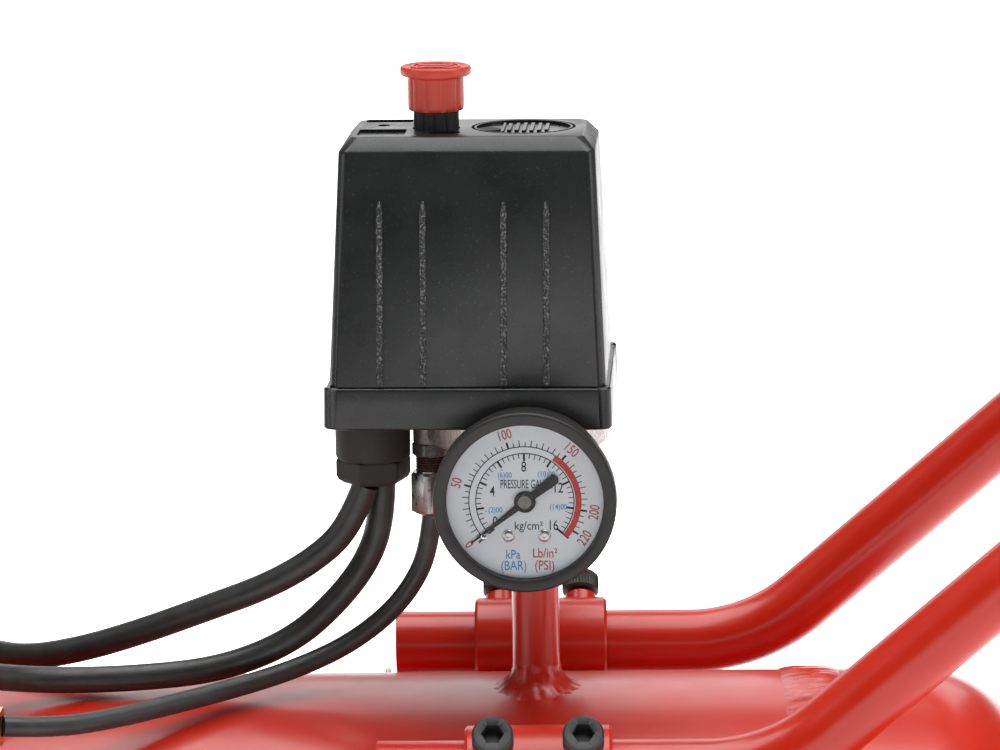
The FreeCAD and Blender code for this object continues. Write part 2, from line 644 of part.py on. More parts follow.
def feet_with_holes(x_pair, mount_x, web_x, case_radius):
    plate = block(x_pair, (-54, 54), (PUMP_FOOT_Z, PUMP_FOOT_Z + 6))
    web = block(web_x, (-30, 30), (PUMP_FOOT_Z, SHAFT_Z - case_radius / 2.0))
    foot = plate.fuse(web)
    for side in (-1, 1):
        foot = foot.cut(rod(4.2, (mount_x, side * MOUNT_Y, TOP), (mount_x, side * MOUNT_Y, PUMP_FOOT_Z + 20)))
    return foot


def crankcase():
    low, high = CRANKCASE_X
    case = rod(CRANKCASE_R, (low, 0, SHAFT_Z), (high, 0, SHAFT_Z))
    neck = block(around(CYLINDER_X, FIN_HALF[0]), around(0.0, FIN_HALF[1]), (SHAFT_Z, CYLINDER_Z[0]))
    foot = feet_with_holes((low + 22, high - 2), MOUNT_X[1], (low + 6, high - 6), CRANKCASE_R)
    body = fuse([case, neck, foot])
    body = body.cut(rod(CRANKCASE_R - CRANKCASE_WALL, (low + CRANKCASE_WALL, 0, SHAFT_Z), (high, 0, SHAFT_Z)))
    body = body.cut(rod(LINER_R, (CYLINDER_X, 0, SHAFT_Z + 10), (CYLINDER_X, 0, CYLINDER_Z[0])))
    return body.cut(rod(SHAFT_R + SHAFT_GAP, (low, 0, SHAFT_Z), (low + 20, 0, SHAFT_Z)))


def crankcase_cover():
    """Front cover with its sight glass, oil filler and six screws."""
    x = CRANKCASE_X[1]
    plate = rod(CRANKCASE_R - 1, (x, 0, SHAFT_Z), (x + 4, 0, SHAFT_Z))
    spigot = rod(CRANKCASE_R - CRANKCASE_WALL - 0.2, (x - 3, 0, SHAFT_Z), (x, 0, SHAFT_Z))
    solids = [fuse([plate, spigot])]
    for k in range(6):
        angle = math.radians(60.0 * k + 30.0)
        y, z = 44.0 * math.cos(angle), SHAFT_Z + 44.0 * math.sin(angle)
        solids.append(hex_bar(4.5, (x + 4, y, z), (x + 6, y, z)))
    glass = pipe(9.0, 6.0, (x + 4, 0, SHAFT_Z - 18), (x + 6, 0, SHAFT_Z - 18))
    filler = hex_bar(13.0, (x + 4, 0, SHAFT_Z + 20), (x + 6, 0, SHAFT_Z + 20))
    return group(solids + [glass, filler])


def cylinder():
    low, high = CYLINDER_Z
    barrel = rod(LINER_R, (CYLINDER_X, 0, low - 6), (CYLINDER_X, 0, high))
    flange = block(around(CYLINDER_X, 31.0), around(0.0, 31.0), (high - 5, high))
    fins = []
    for k in range(6):
        z = low + FIN_PITCH * k
        fins.append(block(around(CYLINDER_X, FIN_HALF[0]), around(0.0, FIN_HALF[1]), (z, z + 2.4)))
    return fuse([barrel, flange] + fins).cut(rod(BORE_R, (CYLINDER_X, 0, low - 10), (CYLINDER_X, 0, high)))


def cylinder_head():
    """Valve plate and finned head."""
    low = CYLINDER_Z[1]
    plate = block(around(CYLINDER_X, 32.0), around(0.0, 32.0), (low, low + VALVE_PLATE))
    for side in (-1, 1):
        plate = plate.cut(rod(4.0, (CYLINDER_X, side * 9, low), (CYLINDER_X, side * 9, low + VALVE_PLATE)))
    base = low + VALVE_PLATE
    head = block(around(CYLINDER_X, 32.0), (-HEAD_HALF, HEAD_HALF), (base, HEAD_TOP - 8))
    for k in range(6):
        x = CYLINDER_X - 31.0 + 11.4 * k
        head = head.fuse(block((x, x + 5.0), (-HEAD_HALF + 3, HEAD_HALF - 3), (HEAD_TOP - 9, HEAD_TOP)))
    for side in (-1, 1):
        chamber = block(around(CYLINDER_X, 20.0), sorted((side * 3.0, side * 26.0)), (base, base + 9))
        head = head.cut(chamber)
        port = rod(3.8, *[(CYLINDER_X, side * y, PORT_HEAD_Z - 4) for y in (20, HEAD_HALF)])
        head = head.cut(port)
    for at in bolt_places():
        head = head.cut(rod(7.5, (*at, HEAD_TOP - 8), (*at, HEAD_TOP + 1)))
    return group([plate, head.removeSplitter()])


def bolt_places():
    return [(CYLINDER_X + sx * 25.0, sy * 28.0) for sx in (-1, 1) for sy in (-1, 1)]


def head_bolts():
    return group([hex_bar(10.0, (*at, HEAD_TOP - 8), (*at, HEAD_TOP - 2.5)) for at in bolt_places()])


def air_filter():
    y = HEAD_HALF
    neck = pipe(7.0, 4.0, (CYLINDER_X, y, PORT_HEAD_Z - 4), (CYLINDER_X, y + 8, PORT_HEAD_Z - 4))
    outline = [(0, y + 8, 4), (0, y + 8, 24), (0, y + 12, 27), (0, y + 36, 27), (0, y + 42, 22), (0, y + 42, 4)]
    can = turned(outline, (0, 0, 0), Y)
    can.translate(V(CYLINDER_X, 0, PORT_HEAD_Z - 4))
    cap = rod(4.0, (CYLINDER_X, y + 30, PORT_HEAD_Z - 4), (CYLINDER_X, y + 42, PORT_HEAD_Z - 4))
    return fuse([neck, can, cap])


def crankshaft():
    """Crank, shaft and rotor core on one axis."""
    pin_z = SHAFT_Z + CRANK_THROW
    web = rod(20.0, (-194, 0, SHAFT_Z), (-185, 0, SHAFT_Z))
    weight = rod(36.0, (-194, 0, SHAFT_Z), (-185, 0, SHAFT_Z)).common(
        block((-194, -185), (-36, 36), (SHAFT_Z - 36, SHAFT_Z - 6)))
    pin = rod(CRANKPIN_R, (-186, 0, pin_z), (-163, 0, pin_z))
    shaft = rod(SHAFT_R, (-350, 0, SHAFT_Z), (-194, 0, SHAFT_Z))
    rotor = rod(ROTOR_R, (STATOR_X[0] + 2, 0, SHAFT_Z), (STATOR_X[1] - 2, 0, SHAFT_Z))
    return fuse([web, weight, pin, shaft, rotor])


def connecting_rod():
    """Rod with its wrist pin; the pin is short and runs free inside the piston."""
    low = SHAFT_Z + CRANK_THROW
    high = low + ROD_LENGTH
    x = around(CYLINDER_X, 6.0)
    big = rod(11.0, (x[0], 0, low), (x[1], 0, low))
    small = rod(6.5, (x[0] + 1, 0, high), (x[1] - 1, 0, high))
    shank = block((x[0] + 2, x[1] - 2), (-4.5, 4.5), (low + 8, high - 4))
    wrist = rod(4.0, (CYLINDER_X - 10, 0, high), (CYLINDER_X + 10, 0, high))
    body = fuse([big, small, shank, wrist])
    return body.cut(rod(CRANKPIN_R + SHAFT_GAP, (x[0] - 1, 0, low), (x[1] + 1, 0, low)))


def piston():
    low, high = PISTON_Z
    body = rod(PISTON_R, (CYLINDER_X, 0, low), (CYLINDER_X, 0, high))
    for k in range(2):
        z = high - 4.5 - 4.0 * k
        body = body.cut(pipe(PISTON_R + 1, PISTON_R - 1.6, (CYLINDER_X, 0, z - 1.5), (CYLINDER_X, 0, z)))
    return body.cut(rod(18.0, (CYLINDER_X, 0, low), (CYLINDER_X, 0, high - 4)))


def motor_housing():
    low, high = MOTOR_X
    shell = pipe(MOTOR_R - 3, MOTOR_R - 3 - MOTOR_WALL, (low, 0, SHAFT_Z), (high, 0, SHAFT_Z))
    ribs = []
    for k in range(36):
        rib = block((low + 9, high - 9), (-1.1, 1.1), (MOTOR_R - 4.5, MOTOR_R - 0.2))
        rib.rotate(V(0, 0, 0), X, 10.0 * k)
        rib.translate(V(0, 0, SHAFT_Z))
        ribs.append(rib)
    walls = [rod(MOTOR_R, (x, 0, SHAFT_Z), (x + 8, 0, SHAFT_Z)) for x in (low, high - 8)]
    foot = feet_with_holes(around(MOUNT_X[0], 12), MOUNT_X[0], around(MOUNT_X[0], 9), MOTOR_R)
    foot = foot.cut(rod(MOTOR_R - 5, (low, 0, SHAFT_Z), (high, 0, SHAFT_Z)))
    body = fuse([shell] + ribs + walls + [foot])
    return body.cut(rod(SHAFT_R + SHAFT_GAP, (low - 1, 0, SHAFT_Z), (high + 1, 0, SHAFT_Z)))


def stator():
    """Laminated core with its two winding overhangs."""
    low, high = STATOR_X
    outer = MOTOR_R - 3 - MOTOR_WALL
    core = pipe(outer, ROTOR_R + 0.5, (low, 0, SHAFT_Z), (high, 0, SHAFT_Z))
    left = pipe(outer - 8, ROTOR_R + 3, (low - 8, 0, SHAFT_Z), (low, 0, SHAFT_Z))
    right = pipe(outer - 8, ROTOR_R + 3, (high, 0, SHAFT_Z), (high + 10, 0, SHAFT_Z))
    return fuse([core, left, right])


def motor_fan():
    hub = pipe(13.0, SHAFT_R, (-340, 0, SHAFT_Z), (-322, 0, SHAFT_Z))
    disc = pipe(FAN_R, 12.0, (-325, 0, SHAFT_Z), (-322, 0, SHAFT_Z))
    blades = []
    for k in range(9):
        blade = block((-340, -323), (-1.2, 1.2), (12.0, FAN_R - 1))
        blade.rotate(V(0, 0, 0), X, 40.0 * k)
        blade.translate(V(0, 0, SHAFT_Z))
        blades.append(blade)
    return fuse([hub, disc] + blades)


def fan_cover():
    """Pressed cover over the fan, with ring slots for the air."""
    low, high = FAN_COVER_END, MOTOR_X[0] + 6
    cover = rod(MOTOR_R + 2, (low, 0, SHAFT_Z), (high, 0, SHAFT_Z))
    cover = cover.makeFillet(8.0, [e for e in cover.Edges if e.Closed and e.CenterOfMass.x < low + 1])
    cover = cover.cut(rod(MOTOR_R + 0.02, (low + 2, 0, SHAFT_Z), (high, 0, SHAFT_Z)).cut(
        pipe(MOTOR_R + 1, MOTOR_R - 6, (low + 2, 0, SHAFT_Z), (low + 8, 0, SHAFT_Z))))
    for k in range(4):
        ring = pipe(24.0 + 8.5 * k, 19.5 + 8.5 * k, (low - 1, 0, SHAFT_Z), (low + 5, 0, SHAFT_Z))
        for spoke in range(3):
            bar = block((low - 2, low + 6), (-60, 60), (-2.5, 2.5))
            bar.rotate(V(0, 0, 0), X, 60.0 * spoke)
            bar.translate(V(0, 0, SHAFT_Z))
            ring = ring.cut(bar)
        cover = cover.cut(ring)
    return cover


def terminal_box():
    """Capacitor and terminal box with the motor lead's gland."""
    box = block(BOX_X, BOX_Y, BOX_Z)
    box = box.makeFillet(5.0, [e for e in box.Edges if abs(e.tangentAt(e.FirstParameter).y) > 0.9])
    inner = block((BOX_X[0] + 3, BOX_X[1] - 3), (BOX_Y[0] + 3, BOX_Y[1] - 6), (BOX_Z[0] + 3, BOX_Z[1] - 3))
    box = box.cut(inner).cut(rod(MOTOR_R, (MOTOR_X[0], 0, SHAFT_Z), (MOTOR_X[1], 0, SHAFT_Z)))
    x = BOX_X[1]
    y, z = -83.0, TOP + 74.0
    gland = rod(8.0, (x, y, z), (x + 5, y, z)).fuse(hex_bar(16.0, (x + 5, y, z), (x + 17, y, z)))
    at = BUTTON_AT
    hole = rod(BUTTON_R + 0.3, (at[0], BOX_Y[0] - 5, at[1]), (at[0], BOX_Y[0] + 5, at[1]))
    capacitor = rod(12.0, (BOX_X[0] + 8, -80, BOX_Z[0] + 15.5), (BOX_X[1] - 26, -80, BOX_Z[0] + 15.5))
    return group([box.cut(hole), gland, capacitor])


def reset_button():
    x, z = BUTTON_AT
    face = BOX_Y[0]
    cap = rod(BUTTON_R, (x, face - 5, z), (x, face + 5, z))
    return cap.makeFillet(1.2, [e for e in cap.Edges if e.Closed and e.CenterOfMass.y < face])


# ---- pressure switch, in riser coordinates ---------------------------------------------------------------
def switch_centre():
    return (SWITCH_X, SWITCH_Y)


def switch_base():
    """Open box that carries the cover, with its floor on the diaphragm housing."""
    c = switch_centre()
    low, high = BASE_Z
    body = frustum(BASE_HALF, BASE_TOP_HALF, low, high, c)
    body = body.makeFillet(4.0, [e for e in body.Edges if abs(e.tangentAt(e.FirstParameter).z) > 0.9])
    inner = block(around(c[0], BASE_TOP_HALF[0] - 4), around(c[1], BASE_TOP_HALF[1] - 4), (low + 3, high + 1))
    body = body.cut(inner)
    body = body.cut(rod(7.0, (0, 0, low - 1), (0, 0, low + 5)))
    return body.cut(rod(9.0, (*GLAND_AT, low - 1), (*GLAND_AT, low + 5)))


def cover_solid(shrink, drop):
    c = switch_centre()
    foot = [h - shrink for h in COVER_FOOT_HALF]
    shoulder = [h - shrink for h in COVER_SHOULDER_HALF]
    top = [h - shrink for h in COVER_TOP_HALF]
    lower = frustum(foot, shoulder, BASE_Z[1], COVER_SHOULDER_Z - drop, c)
    upper = frustum(shoulder, top, COVER_SHOULDER_Z - drop, COVER_TOP_Z - drop, c)
    return lower.fuse(upper)


def switch_cover():
    """Moulded cover with its four ribs, round plaque, label recesses and knob hole."""
    shell = cover_solid(0.0, 0.0).removeSplitter()
    upright = [e for e in shell.Edges if abs(e.tangentAt(e.FirstParameter).z) > 0.5]
    shell = shell.makeFillet(1.6, upright)
    shell = shell.cut(cover_solid(COVER_WALL, COVER_WALL))
    slope = (COVER_FOOT_HALF[1] - COVER_SHOULDER_HALF[1]) / (COVER_SHOULDER_Z - BASE_Z[1])
    tilt = math.degrees(math.atan(slope))
    for x in RIB_X:
        rib = rod(0.75, (0, 0, 0), (0, 0, RIB_Z[1] - RIB_Z[0]))
        rib.rotate(V(0, 0, 0), X, -tilt)
        front = SWITCH_Y - COVER_FOOT_HALF[1] + slope * (RIB_Z[0] - BASE_Z[1])
        rib.translate(V(SWITCH_X + x, front, RIB_Z[0]))
        shell = shell.fuse(rib)
    shell = shell.cut(rod(KNOB_STEM_R + KNOB_HOLE_GAP, (*KNOB_AT, 150), (*KNOB_AT, 180)))
    groove = pipe(PLAQUE_R, PLAQUE_R - 1.6, *[(*PLAQUE_AT, COVER_TOP_Z + lift) for lift in (-1.2, 1)])
    shell = shell.cut(groove)
    shell = shell.cut(rod(PLAQUE_R - 1.0, (*PLAQUE_AT, COVER_TOP_Z - 0.5), (*PLAQUE_AT, COVER_TOP_Z + 1)))
    left = SWITCH_X - COVER_TOP_HALF[0]
    shell = shell.cut(block((left + 2.0, left + 15.5), (19.8, 25.4), (COVER_TOP_Z - 1.0, COVER_TOP_Z + 1)))
    label = block((left + 1.4, left + 15.4), (-6.6, 4.6), around(COVER_TOP_Z, 1.0))
    return shell.cut(label).Solids[0]


def switch_mechanism():
    """Contact block, range spring and rocker inside the housing."""
    contacts = block((-53, -30), (-12, 26), (92.5, 116))
    spring = pipe(9.0, 6.5, (2, 7.2, 96), (2, 7.2, 128))
    plate = pipe(12.0, 3.0, (2, 7.2, 128), (2, 7.2, 131))
    screw = rod(3.0, (2, 7.2, 92), (2, 7.2, 140))
    rocker = block((-40, 14), (0, 14), (88.2, 92))
    return group([contacts, spring, plate, screw, rocker])


def knob_stem():
    x, y = KNOB_AT
    stem = rod(KNOB_STEM_R, (x, y, 150), (x, y, KNOB_Z[0] + 0.6)).fuse(rod(3.0, (x, y, 122), (x, y, 151)))
    grooves = [rod(0.5, (x + (KNOB_STEM_R + 0.1) * math.cos(a), y + (KNOB_STEM_R + 0.1) * math.sin(a), 140),
                   (x + (KNOB_STEM_R + 0.1) * math.cos(a), y + (KNOB_STEM_R + 0.1) * math.sin(a), 180))
               for a in [math.radians(30.0 * k) for k in range(12)]]
    return stem.cut(group(grooves)).Solids[0]


def knob_cap():
    """Red push-pull cap with eight flats and a flange."""
    x, y = KNOB_AT
    body = rod(KNOB_BODY_R, (x, y, KNOB_Z[0]), (x, y, KNOB_Z[1]))
    flange = rod(KNOB_FLANGE_R, (x, y, KNOB_Z[1]), (x, y, KNOB_Z[2]))
    flange = flange.makeFillet(0.7, [e for e in flange.Edges if e.Closed])
    cap = fuse([body, flange])
    cap = cap.cut(rod(KNOB_STEM_R, (x, y, KNOB_Z[0] - 1), (x, y, KNOB_Z[0] + 0.6)))
    return cap.cut(pipe(8.6, 7.9, (x, y, KNOB_Z[2] - 0.4), (x, y, KNOB_Z[2] + 1)))


def manifold():
    """Die-cast diaphragm housing and port block on the riser pipe."""
    disc = rod(DIAPHRAGM_R, (DIAPHRAGM_X, 0, MANIFOLD_Z[1]), (DIAPHRAGM_X, 0, BASE_Z[0]))
    body = block(around(0.0, MANIFOLD_HALF[0]), around(0.0, MANIFOLD_HALF[1]), MANIFOLD_Z)
    collar = rod(10.0, (0, 0, MANIFOLD_Z[0] - 3), (0, 0, MANIFOLD_Z[0]))
    plug = hex_bar(12.0, (MANIFOLD_HALF[0], 0, PORT_Z - 2), (MANIFOLD_HALF[0] + 5, 0, PORT_Z - 2))
    solid = fuse([disc, body, collar, plug])
    solid = solid.cut(rod(RISER_R, (0, 0, 40), (0, 0, RISER_TOP)))
    solid = solid.cut(rod(RISER_BORE, (0, 0, RISER_TOP - 1), (0, 0, BASE_Z[0] + 1)))
    half = MANIFOLD_HALF[1]
    solid = solid.cut(rod(3.5, (GAUGE_X, -half - 1, PORT_Z), (GAUGE_X, half + 1, PORT_Z)))
    return solid


def cable_gland():
    """Gland body and its hexagonal nut; two cables leave the nut's lower face."""
    x, y = GLAND_AT
    neck = rod(8.9, (x, y, BASE_Z[0]), (x, y, BASE_Z[0] + 2.5))
    body = rod(GLAND_R, (x, y, GLAND_Z[1]), (x, y, BASE_Z[0]))
    nut = hex_bar(GLAND_HEX_CORNER * math.sqrt(3.0), (x, y, GLAND_Z[0]), (x, y, GLAND_Z[1]), GLAND_HEX_TURN)
    cone = turned([(x, y, GLAND_Z[0]), (x + 9.6, y, GLAND_Z[0]), (x + 12.0, y, GLAND_Z[0] + 2.4),
                   (x + 12.0, y, GLAND_Z[1]), (x, y, GLAND_Z[1])], (x, y, 0), Z)
    return group([fuse([neck, body]), nut.common(cone)])


def unloader_valve():
    x = UNLOADER_X
    low, thread, nut, body = UNLOADER_Z
    solids = [rod(5.4, (x, 0, body), (x, 0, BASE_Z[0])), hex_bar(10.4, (x, 0, nut), (x, 0, body), 12.0),
              rod(4.8, (x, 0, thread), (x, 0, nut))]
    upper = fuse(solids).cut(rod(DIAPHRAGM_R, (DIAPHRAGM_X, 0, 70), (DIAPHRAGM_X, 0, BASE_Z[0])))
    compression = hex_bar(11.4, (x, 0, low), (x, 0, thread), 24.0)
    return group([upper.Solids[0], compression])


# ---- gauge -------------------------------------------------------------------------------------------------
def gauge_case():
    """Case, bezel, movement block and threaded stem."""
    c = (GAUGE_X, PORT_Z)
    case = rod(GAUGE_CASE_R, (c[0], GAUGE_BACK, c[1]), (c[0], GAUGE_FRONT + 5, c[1]))
    case = case.makeFillet(2.0, [e for e in case.Edges if e.Closed and e.CenterOfMass.y > GAUGE_BACK - 1])
    bezel = rod(GAUGE_R, (c[0], GAUGE_FRONT + 6, c[1]), (c[0], GAUGE_FRONT, c[1]))
    bezel = bezel.makeFillet(1.4, [e for e in bezel.Edges if e.Closed])
    body = fuse([case, bezel])
    body = body.cut(rod(GAUGE_WINDOW_R, (c[0], GAUGE_FRONT - 1, c[1]), (c[0], GAUGE_FRONT + 2, c[1])))
    body = body.cut(rod(DIAL_R, (c[0], LENS_Y[0], c[1]), (c[0], GAUGE_BACK - 2, c[1])))
    stem = rod(6.4, (c[0], GAUGE_BACK, c[1]), (c[0], -MANIFOLD_HALF[1], c[1]))
    flats = hex_bar(14.0, (c[0], GAUGE_BACK, c[1]), (c[0], GAUGE_BACK + 8, c[1]))
    movement = block(around(c[0], 8.0), (DIAL_Y + 4.0, GAUGE_BACK - 2), around(c[1], 8.0))
    bourdon = Part.makeTorus(16.0, 1.8, V(c[0], -39.0, c[1]), Y).cut(
        block((c[0] - 30, c[0] + 30), (-45, -30), (c[1] - 30, c[1] - 6)))
    return group([body, fuse([stem, flats]), movement] + bourdon.Solids)


def gauge_dial():
    c = (GAUGE_X, PORT_Z)
    dial = rod(DIAL_R, (c[0], DIAL_Y, c[1]), (c[0], DIAL_Y + 0.8, c[1]))
    return dial.cut(rod(0.9, (c[0], DIAL_Y - 1, c[1]), (c[0], DIAL_Y + 2, c[1])))


def gauge_lens():
    c = (GAUGE_X, PORT_Z)
    return rod(DIAL_R - 0.02, (c[0], LENS_Y[0] + 0.02, c[1]), (c[0], LENS_Y[1], c[1]))


def gauge_pointer():
    """Pointer, its hub and the spindle through the dial."""
    c = (GAUGE_X, PORT_Z)
    blade = [V(-POINTER_TAIL, 0, -1.5), V(-POINTER_TAIL, 0, 1.5), V(-2, 0, 1.2), V(POINTER_TIP, 0, 0.3),
             V(POINTER_TIP, 0, -0.3), V(-2, 0, -1.2)]
    hand = Part.Face(Part.makePolygon(blade + [blade[0]])).extrude(V(0, 0.3, 0))
    hand.rotate(V(0, 0, 0), Y, -math.degrees(POINTER_ZERO))
    hand.translate(V(c[0], DIAL_Y - 0.75, c[1]))
    hub = rod(2.9, (c[0], DIAL_Y - 1.05, c[1]), (c[0], DIAL_Y - 0.35, c[1]))
    spindle = rod(0.8, (c[0], DIAL_Y - 0.35, c[1]), (c[0], DIAL_Y + 3.5, c[1]))
    return fuse([hand, hub, spindle])


# ---- outlet ------------------------------------------------------------------------------------------------
def regulator():
    """Regulator body with its inlet nipple and the coupler's hexagon seat."""
    body = rod(REGULATOR_R, (0, REGULATOR_Y, REGULATOR_Z[0]), (0, REGULATOR_Y, REGULATOR_Z[1]))
    body = body.makeFillet(2.0, [e for e in body.Edges if e.Closed])
    nipple = rod(6.5, (0, MANIFOLD_HALF[1], PORT_Z), (0, REGULATOR_Y, PORT_Z))
    seat = rod(7.2, (0, REGULATOR_Y, PORT_Z), (0, COUPLER_Y[0], PORT_Z))
    solid = fuse([body, nipple, seat])
    bore = rod(3.5, (0, MANIFOLD_HALF[1], PORT_Z), (0, COUPLER_Y[0], PORT_Z))
    return solid.cut(bore).cut(rod(4.05, (0, REGULATOR_Y, REGULATOR_Z[0] - 1), (0, REGULATOR_Y, PORT_Z - 6)))


def regulator_knob():
    low, high = REGULATOR_KNOB_Z
    knob = rod(REGULATOR_KNOB_R, (0, REGULATOR_Y, low), (0, REGULATOR_Y, high))
    knob = knob.makeFillet(2.0, [e for e in knob.Edges if e.Closed])
    for k in range(16):
        angle = math.radians(22.5 * k)
        x, y = 15.2 * math.cos(angle), REGULATOR_Y + 15.2 * math.sin(angle)
        knob = knob.cut(rod(2.0, (x, y, low - 1), (x, y, high + 1)))
    return knob.fuse(rod(4.0, (0, REGULATOR_Y, high - 1), (0, REGULATOR_Y, high + 8)))


def coupler():
    seat, shoulder, end = COUPLER_Y
    nut = hex_bar(19.0, (0, seat, PORT_Z), (0, shoulder, PORT_Z))
    body = rod(COUPLER_R, (0, shoulder, PORT_Z), (0, end, PORT_Z))
    return fuse([nut, body]).cut(rod(COUPLER_BORE, (0, seat, PORT_Z), (0, end, PORT_Z)))


def coupler_sleeve():
    low, high = COUPLER_SLEEVE_Y
    sleeve = pipe(COUPLER_SLEEVE_R, COUPLER_R + 0.3, (0, low, PORT_Z), (0, high, PORT_Z))
    for k in range(3):
        y = low + 4.0 + 3.0 * k
        groove = pipe(COUPLER_SLEEVE_R + 1, COUPLER_SLEEVE_R - 0.6, (0, y, PORT_Z), (0, y + 1.4, PORT_Z))
        sleeve = sleeve.cut(groove)
    return sleeve


# ---- cords ---------------------------------------------------------------------------------------------------
def mains_cord():
    tube = cord_tube(from_riser(MAINS_ROUTE), CORD_R, "mains_cord")
    tail = cord_tube([V(*p) for p in mains_tail()], CORD_R, "mains_tail")
    return group([tube, tail])


def mains_tail():
    """From the coil's upper turn down to the plug."""
    x, y = COIL_AT
    return [(x - 5.0, y - COIL_R[1] + 3.0, 12.2), (x - 22.0, y - COIL_R[1] - 5.0, 11.5),
            (x - 38.0, y - COIL_R[1] - 12.0, 14.0), (PLUG_AT[0] + 9.0, PLUG_AT[1] + 0.5, 18.0)]


def mains_cord_coil():
    """Outer shape of the wound length: two turns side by side, two high."""
    at = (COIL_AT[0], COIL_AT[1], 0.0)
    top = (COIL_AT[0], COIL_AT[1], 4.0 * CORD_R)
    return pipe(COIL_R[1] + CORD_R, COIL_R[0] - CORD_R, at, top)


def mains_plug():
    """Round two-pin plug, lying on its side."""
    x, y = PLUG_AT
    z = 18.0
    body = turned([(x + 9, y, z), (x + 9, y, z + 6), (x - 10, y, z + 11), (x - 20, y, z + 17.8),
                   (x - 34, y, z + 18), (x - 34, y, z)], (0, y, z), X)
    pins = [rod(2.4, (x - 34, y + side * 9.5, z), (x - 53, y + side * 9.5, z)) for side in (-1, 1)]
    return group([body] + pins)


def motor_lead():
    return cord_tube(from_riser(LEAD_ROUTE), CORD_R, "motor_lead")


def unloader_tube():
    return cord_tube(from_riser(AIR_LINE_ROUTE), AIR_LINE_R, "unloader_tube")


def build_all():
    """Every piece by its node's name."""
    parts = {
        "tank_shell": tank_shell(),
        "tank_heads": group([tank_head(SEAM_LEFT, -1), tank_head(SEAM_RIGHT, 1)]),
        "tank_sockets": tank_sockets(),
        "weld_beads": weld_beads(),
        "handle_sleeves": handle_sleeves(),
        "handle_tube": handle_tube(),
        "handle_grip": handle_grip(),
        "wheel_bracket": wheel_bracket(),
        "foot_bracket": foot_bracket(),
        "rubber_feet": rubber_feet(),
        "wheel_front": wheel(-1),
        "wheel_rear": wheel(1),
        "wheel_bolts": wheel_bolts(),
        "check_valve": check_valve(),
        "delivery_pipe": delivery_pipe(),
        "safety_valve": safety_valve(),
        "safety_ring": safety_ring(),
        "drain_cock": drain_cock(),
        "pump_platform": pump_platform(),
        "vibration_mounts": vibration_mounts(),
        "crankcase": crankcase(),
        "crankcase_cover": crankcase_cover(),
        "cylinder": cylinder(),
        "cylinder_head": cylinder_head(),
        "head_bolts": head_bolts(),
        "air_filter": air_filter(),
        "crankshaft": crankshaft(),
        "connecting_rod": connecting_rod(),
        "piston": piston(),
        "motor_housing": motor_housing(),
        "stator": stator(),
        "motor_fan": motor_fan(),
        "fan_cover": fan_cover(),
        "terminal_box": terminal_box(),
        "reset_button": reset_button(),
        "mains_cord": mains_cord(),
        "mains_cord_coil": mains_cord_coil(),
        "mains_plug": mains_plug(),
        "motor_lead": motor_lead(),
        "unloader_tube": unloader_tube(),
    }
    for x, end in zip(SCREW_X, ("left", "right")):
        for side, face in ((-1, "front"), (1, "rear")):
            parts[f"clamp_screw_{face}_{end}"] = clamp_screw(x, side)
    on_riser = {
        "switch_base": switch_base, "switch_cover": switch_cover, "switch_mechanism": switch_mechanism,
        "knob_stem": knob_stem, "knob_cap": knob_cap, "manifold": manifold, "cable_gland": cable_gland,
        "unloader_valve": unloader_valve, "gauge_case": gauge_case, "gauge_dial": gauge_dial,
        "gauge_lens": gauge_lens, "gauge_pointer": gauge_pointer, "regulator": regulator,
        "regulator_knob": regulator_knob, "coupler": coupler, "coupler_sleeve": coupler_sleeve,
    }
    for name, make in on_riser.items():
        parts[name] = riser_group(make())
    return parts


def main():
    os.makedirs("parts", exist_ok=True)
    for name, shape in build_all().items():
        if not shape.isValid():
            print("not valid:", name)
        shape.exportStep(f"parts/{name}.step")


if __name__ == "__main__":
    main()
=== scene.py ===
"""Looks of a portable air compressor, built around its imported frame."""
import math

import bmesh
import bpy
from bpy.props import BoolProperty, FloatProperty, FloatVectorProperty, PointerProperty
from mathutils import Matrix, Vector


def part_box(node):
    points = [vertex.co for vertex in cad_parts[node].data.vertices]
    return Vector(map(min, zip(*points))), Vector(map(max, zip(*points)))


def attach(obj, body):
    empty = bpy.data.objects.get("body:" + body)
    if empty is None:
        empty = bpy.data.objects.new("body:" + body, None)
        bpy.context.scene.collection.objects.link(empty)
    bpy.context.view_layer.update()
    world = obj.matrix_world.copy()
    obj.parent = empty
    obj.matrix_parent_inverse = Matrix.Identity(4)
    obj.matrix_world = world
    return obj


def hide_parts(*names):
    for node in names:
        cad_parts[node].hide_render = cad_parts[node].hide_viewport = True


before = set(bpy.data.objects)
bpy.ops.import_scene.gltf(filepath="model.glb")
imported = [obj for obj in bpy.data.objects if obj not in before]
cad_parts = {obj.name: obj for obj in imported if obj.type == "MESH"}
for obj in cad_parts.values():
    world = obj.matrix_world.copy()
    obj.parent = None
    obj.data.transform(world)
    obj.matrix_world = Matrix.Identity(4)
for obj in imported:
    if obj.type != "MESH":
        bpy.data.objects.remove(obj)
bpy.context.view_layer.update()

bl_info = {
    "name": "Air compressor looks",
    "version": (1, 0, 0),
    "blender": (4, 5, 0),
    "location": "3D View > Sidebar > Compressor",
    "description": "Builds the visible pieces of an air compressor around its packed frame",
    "category": "Object",
}

MM = 0.001

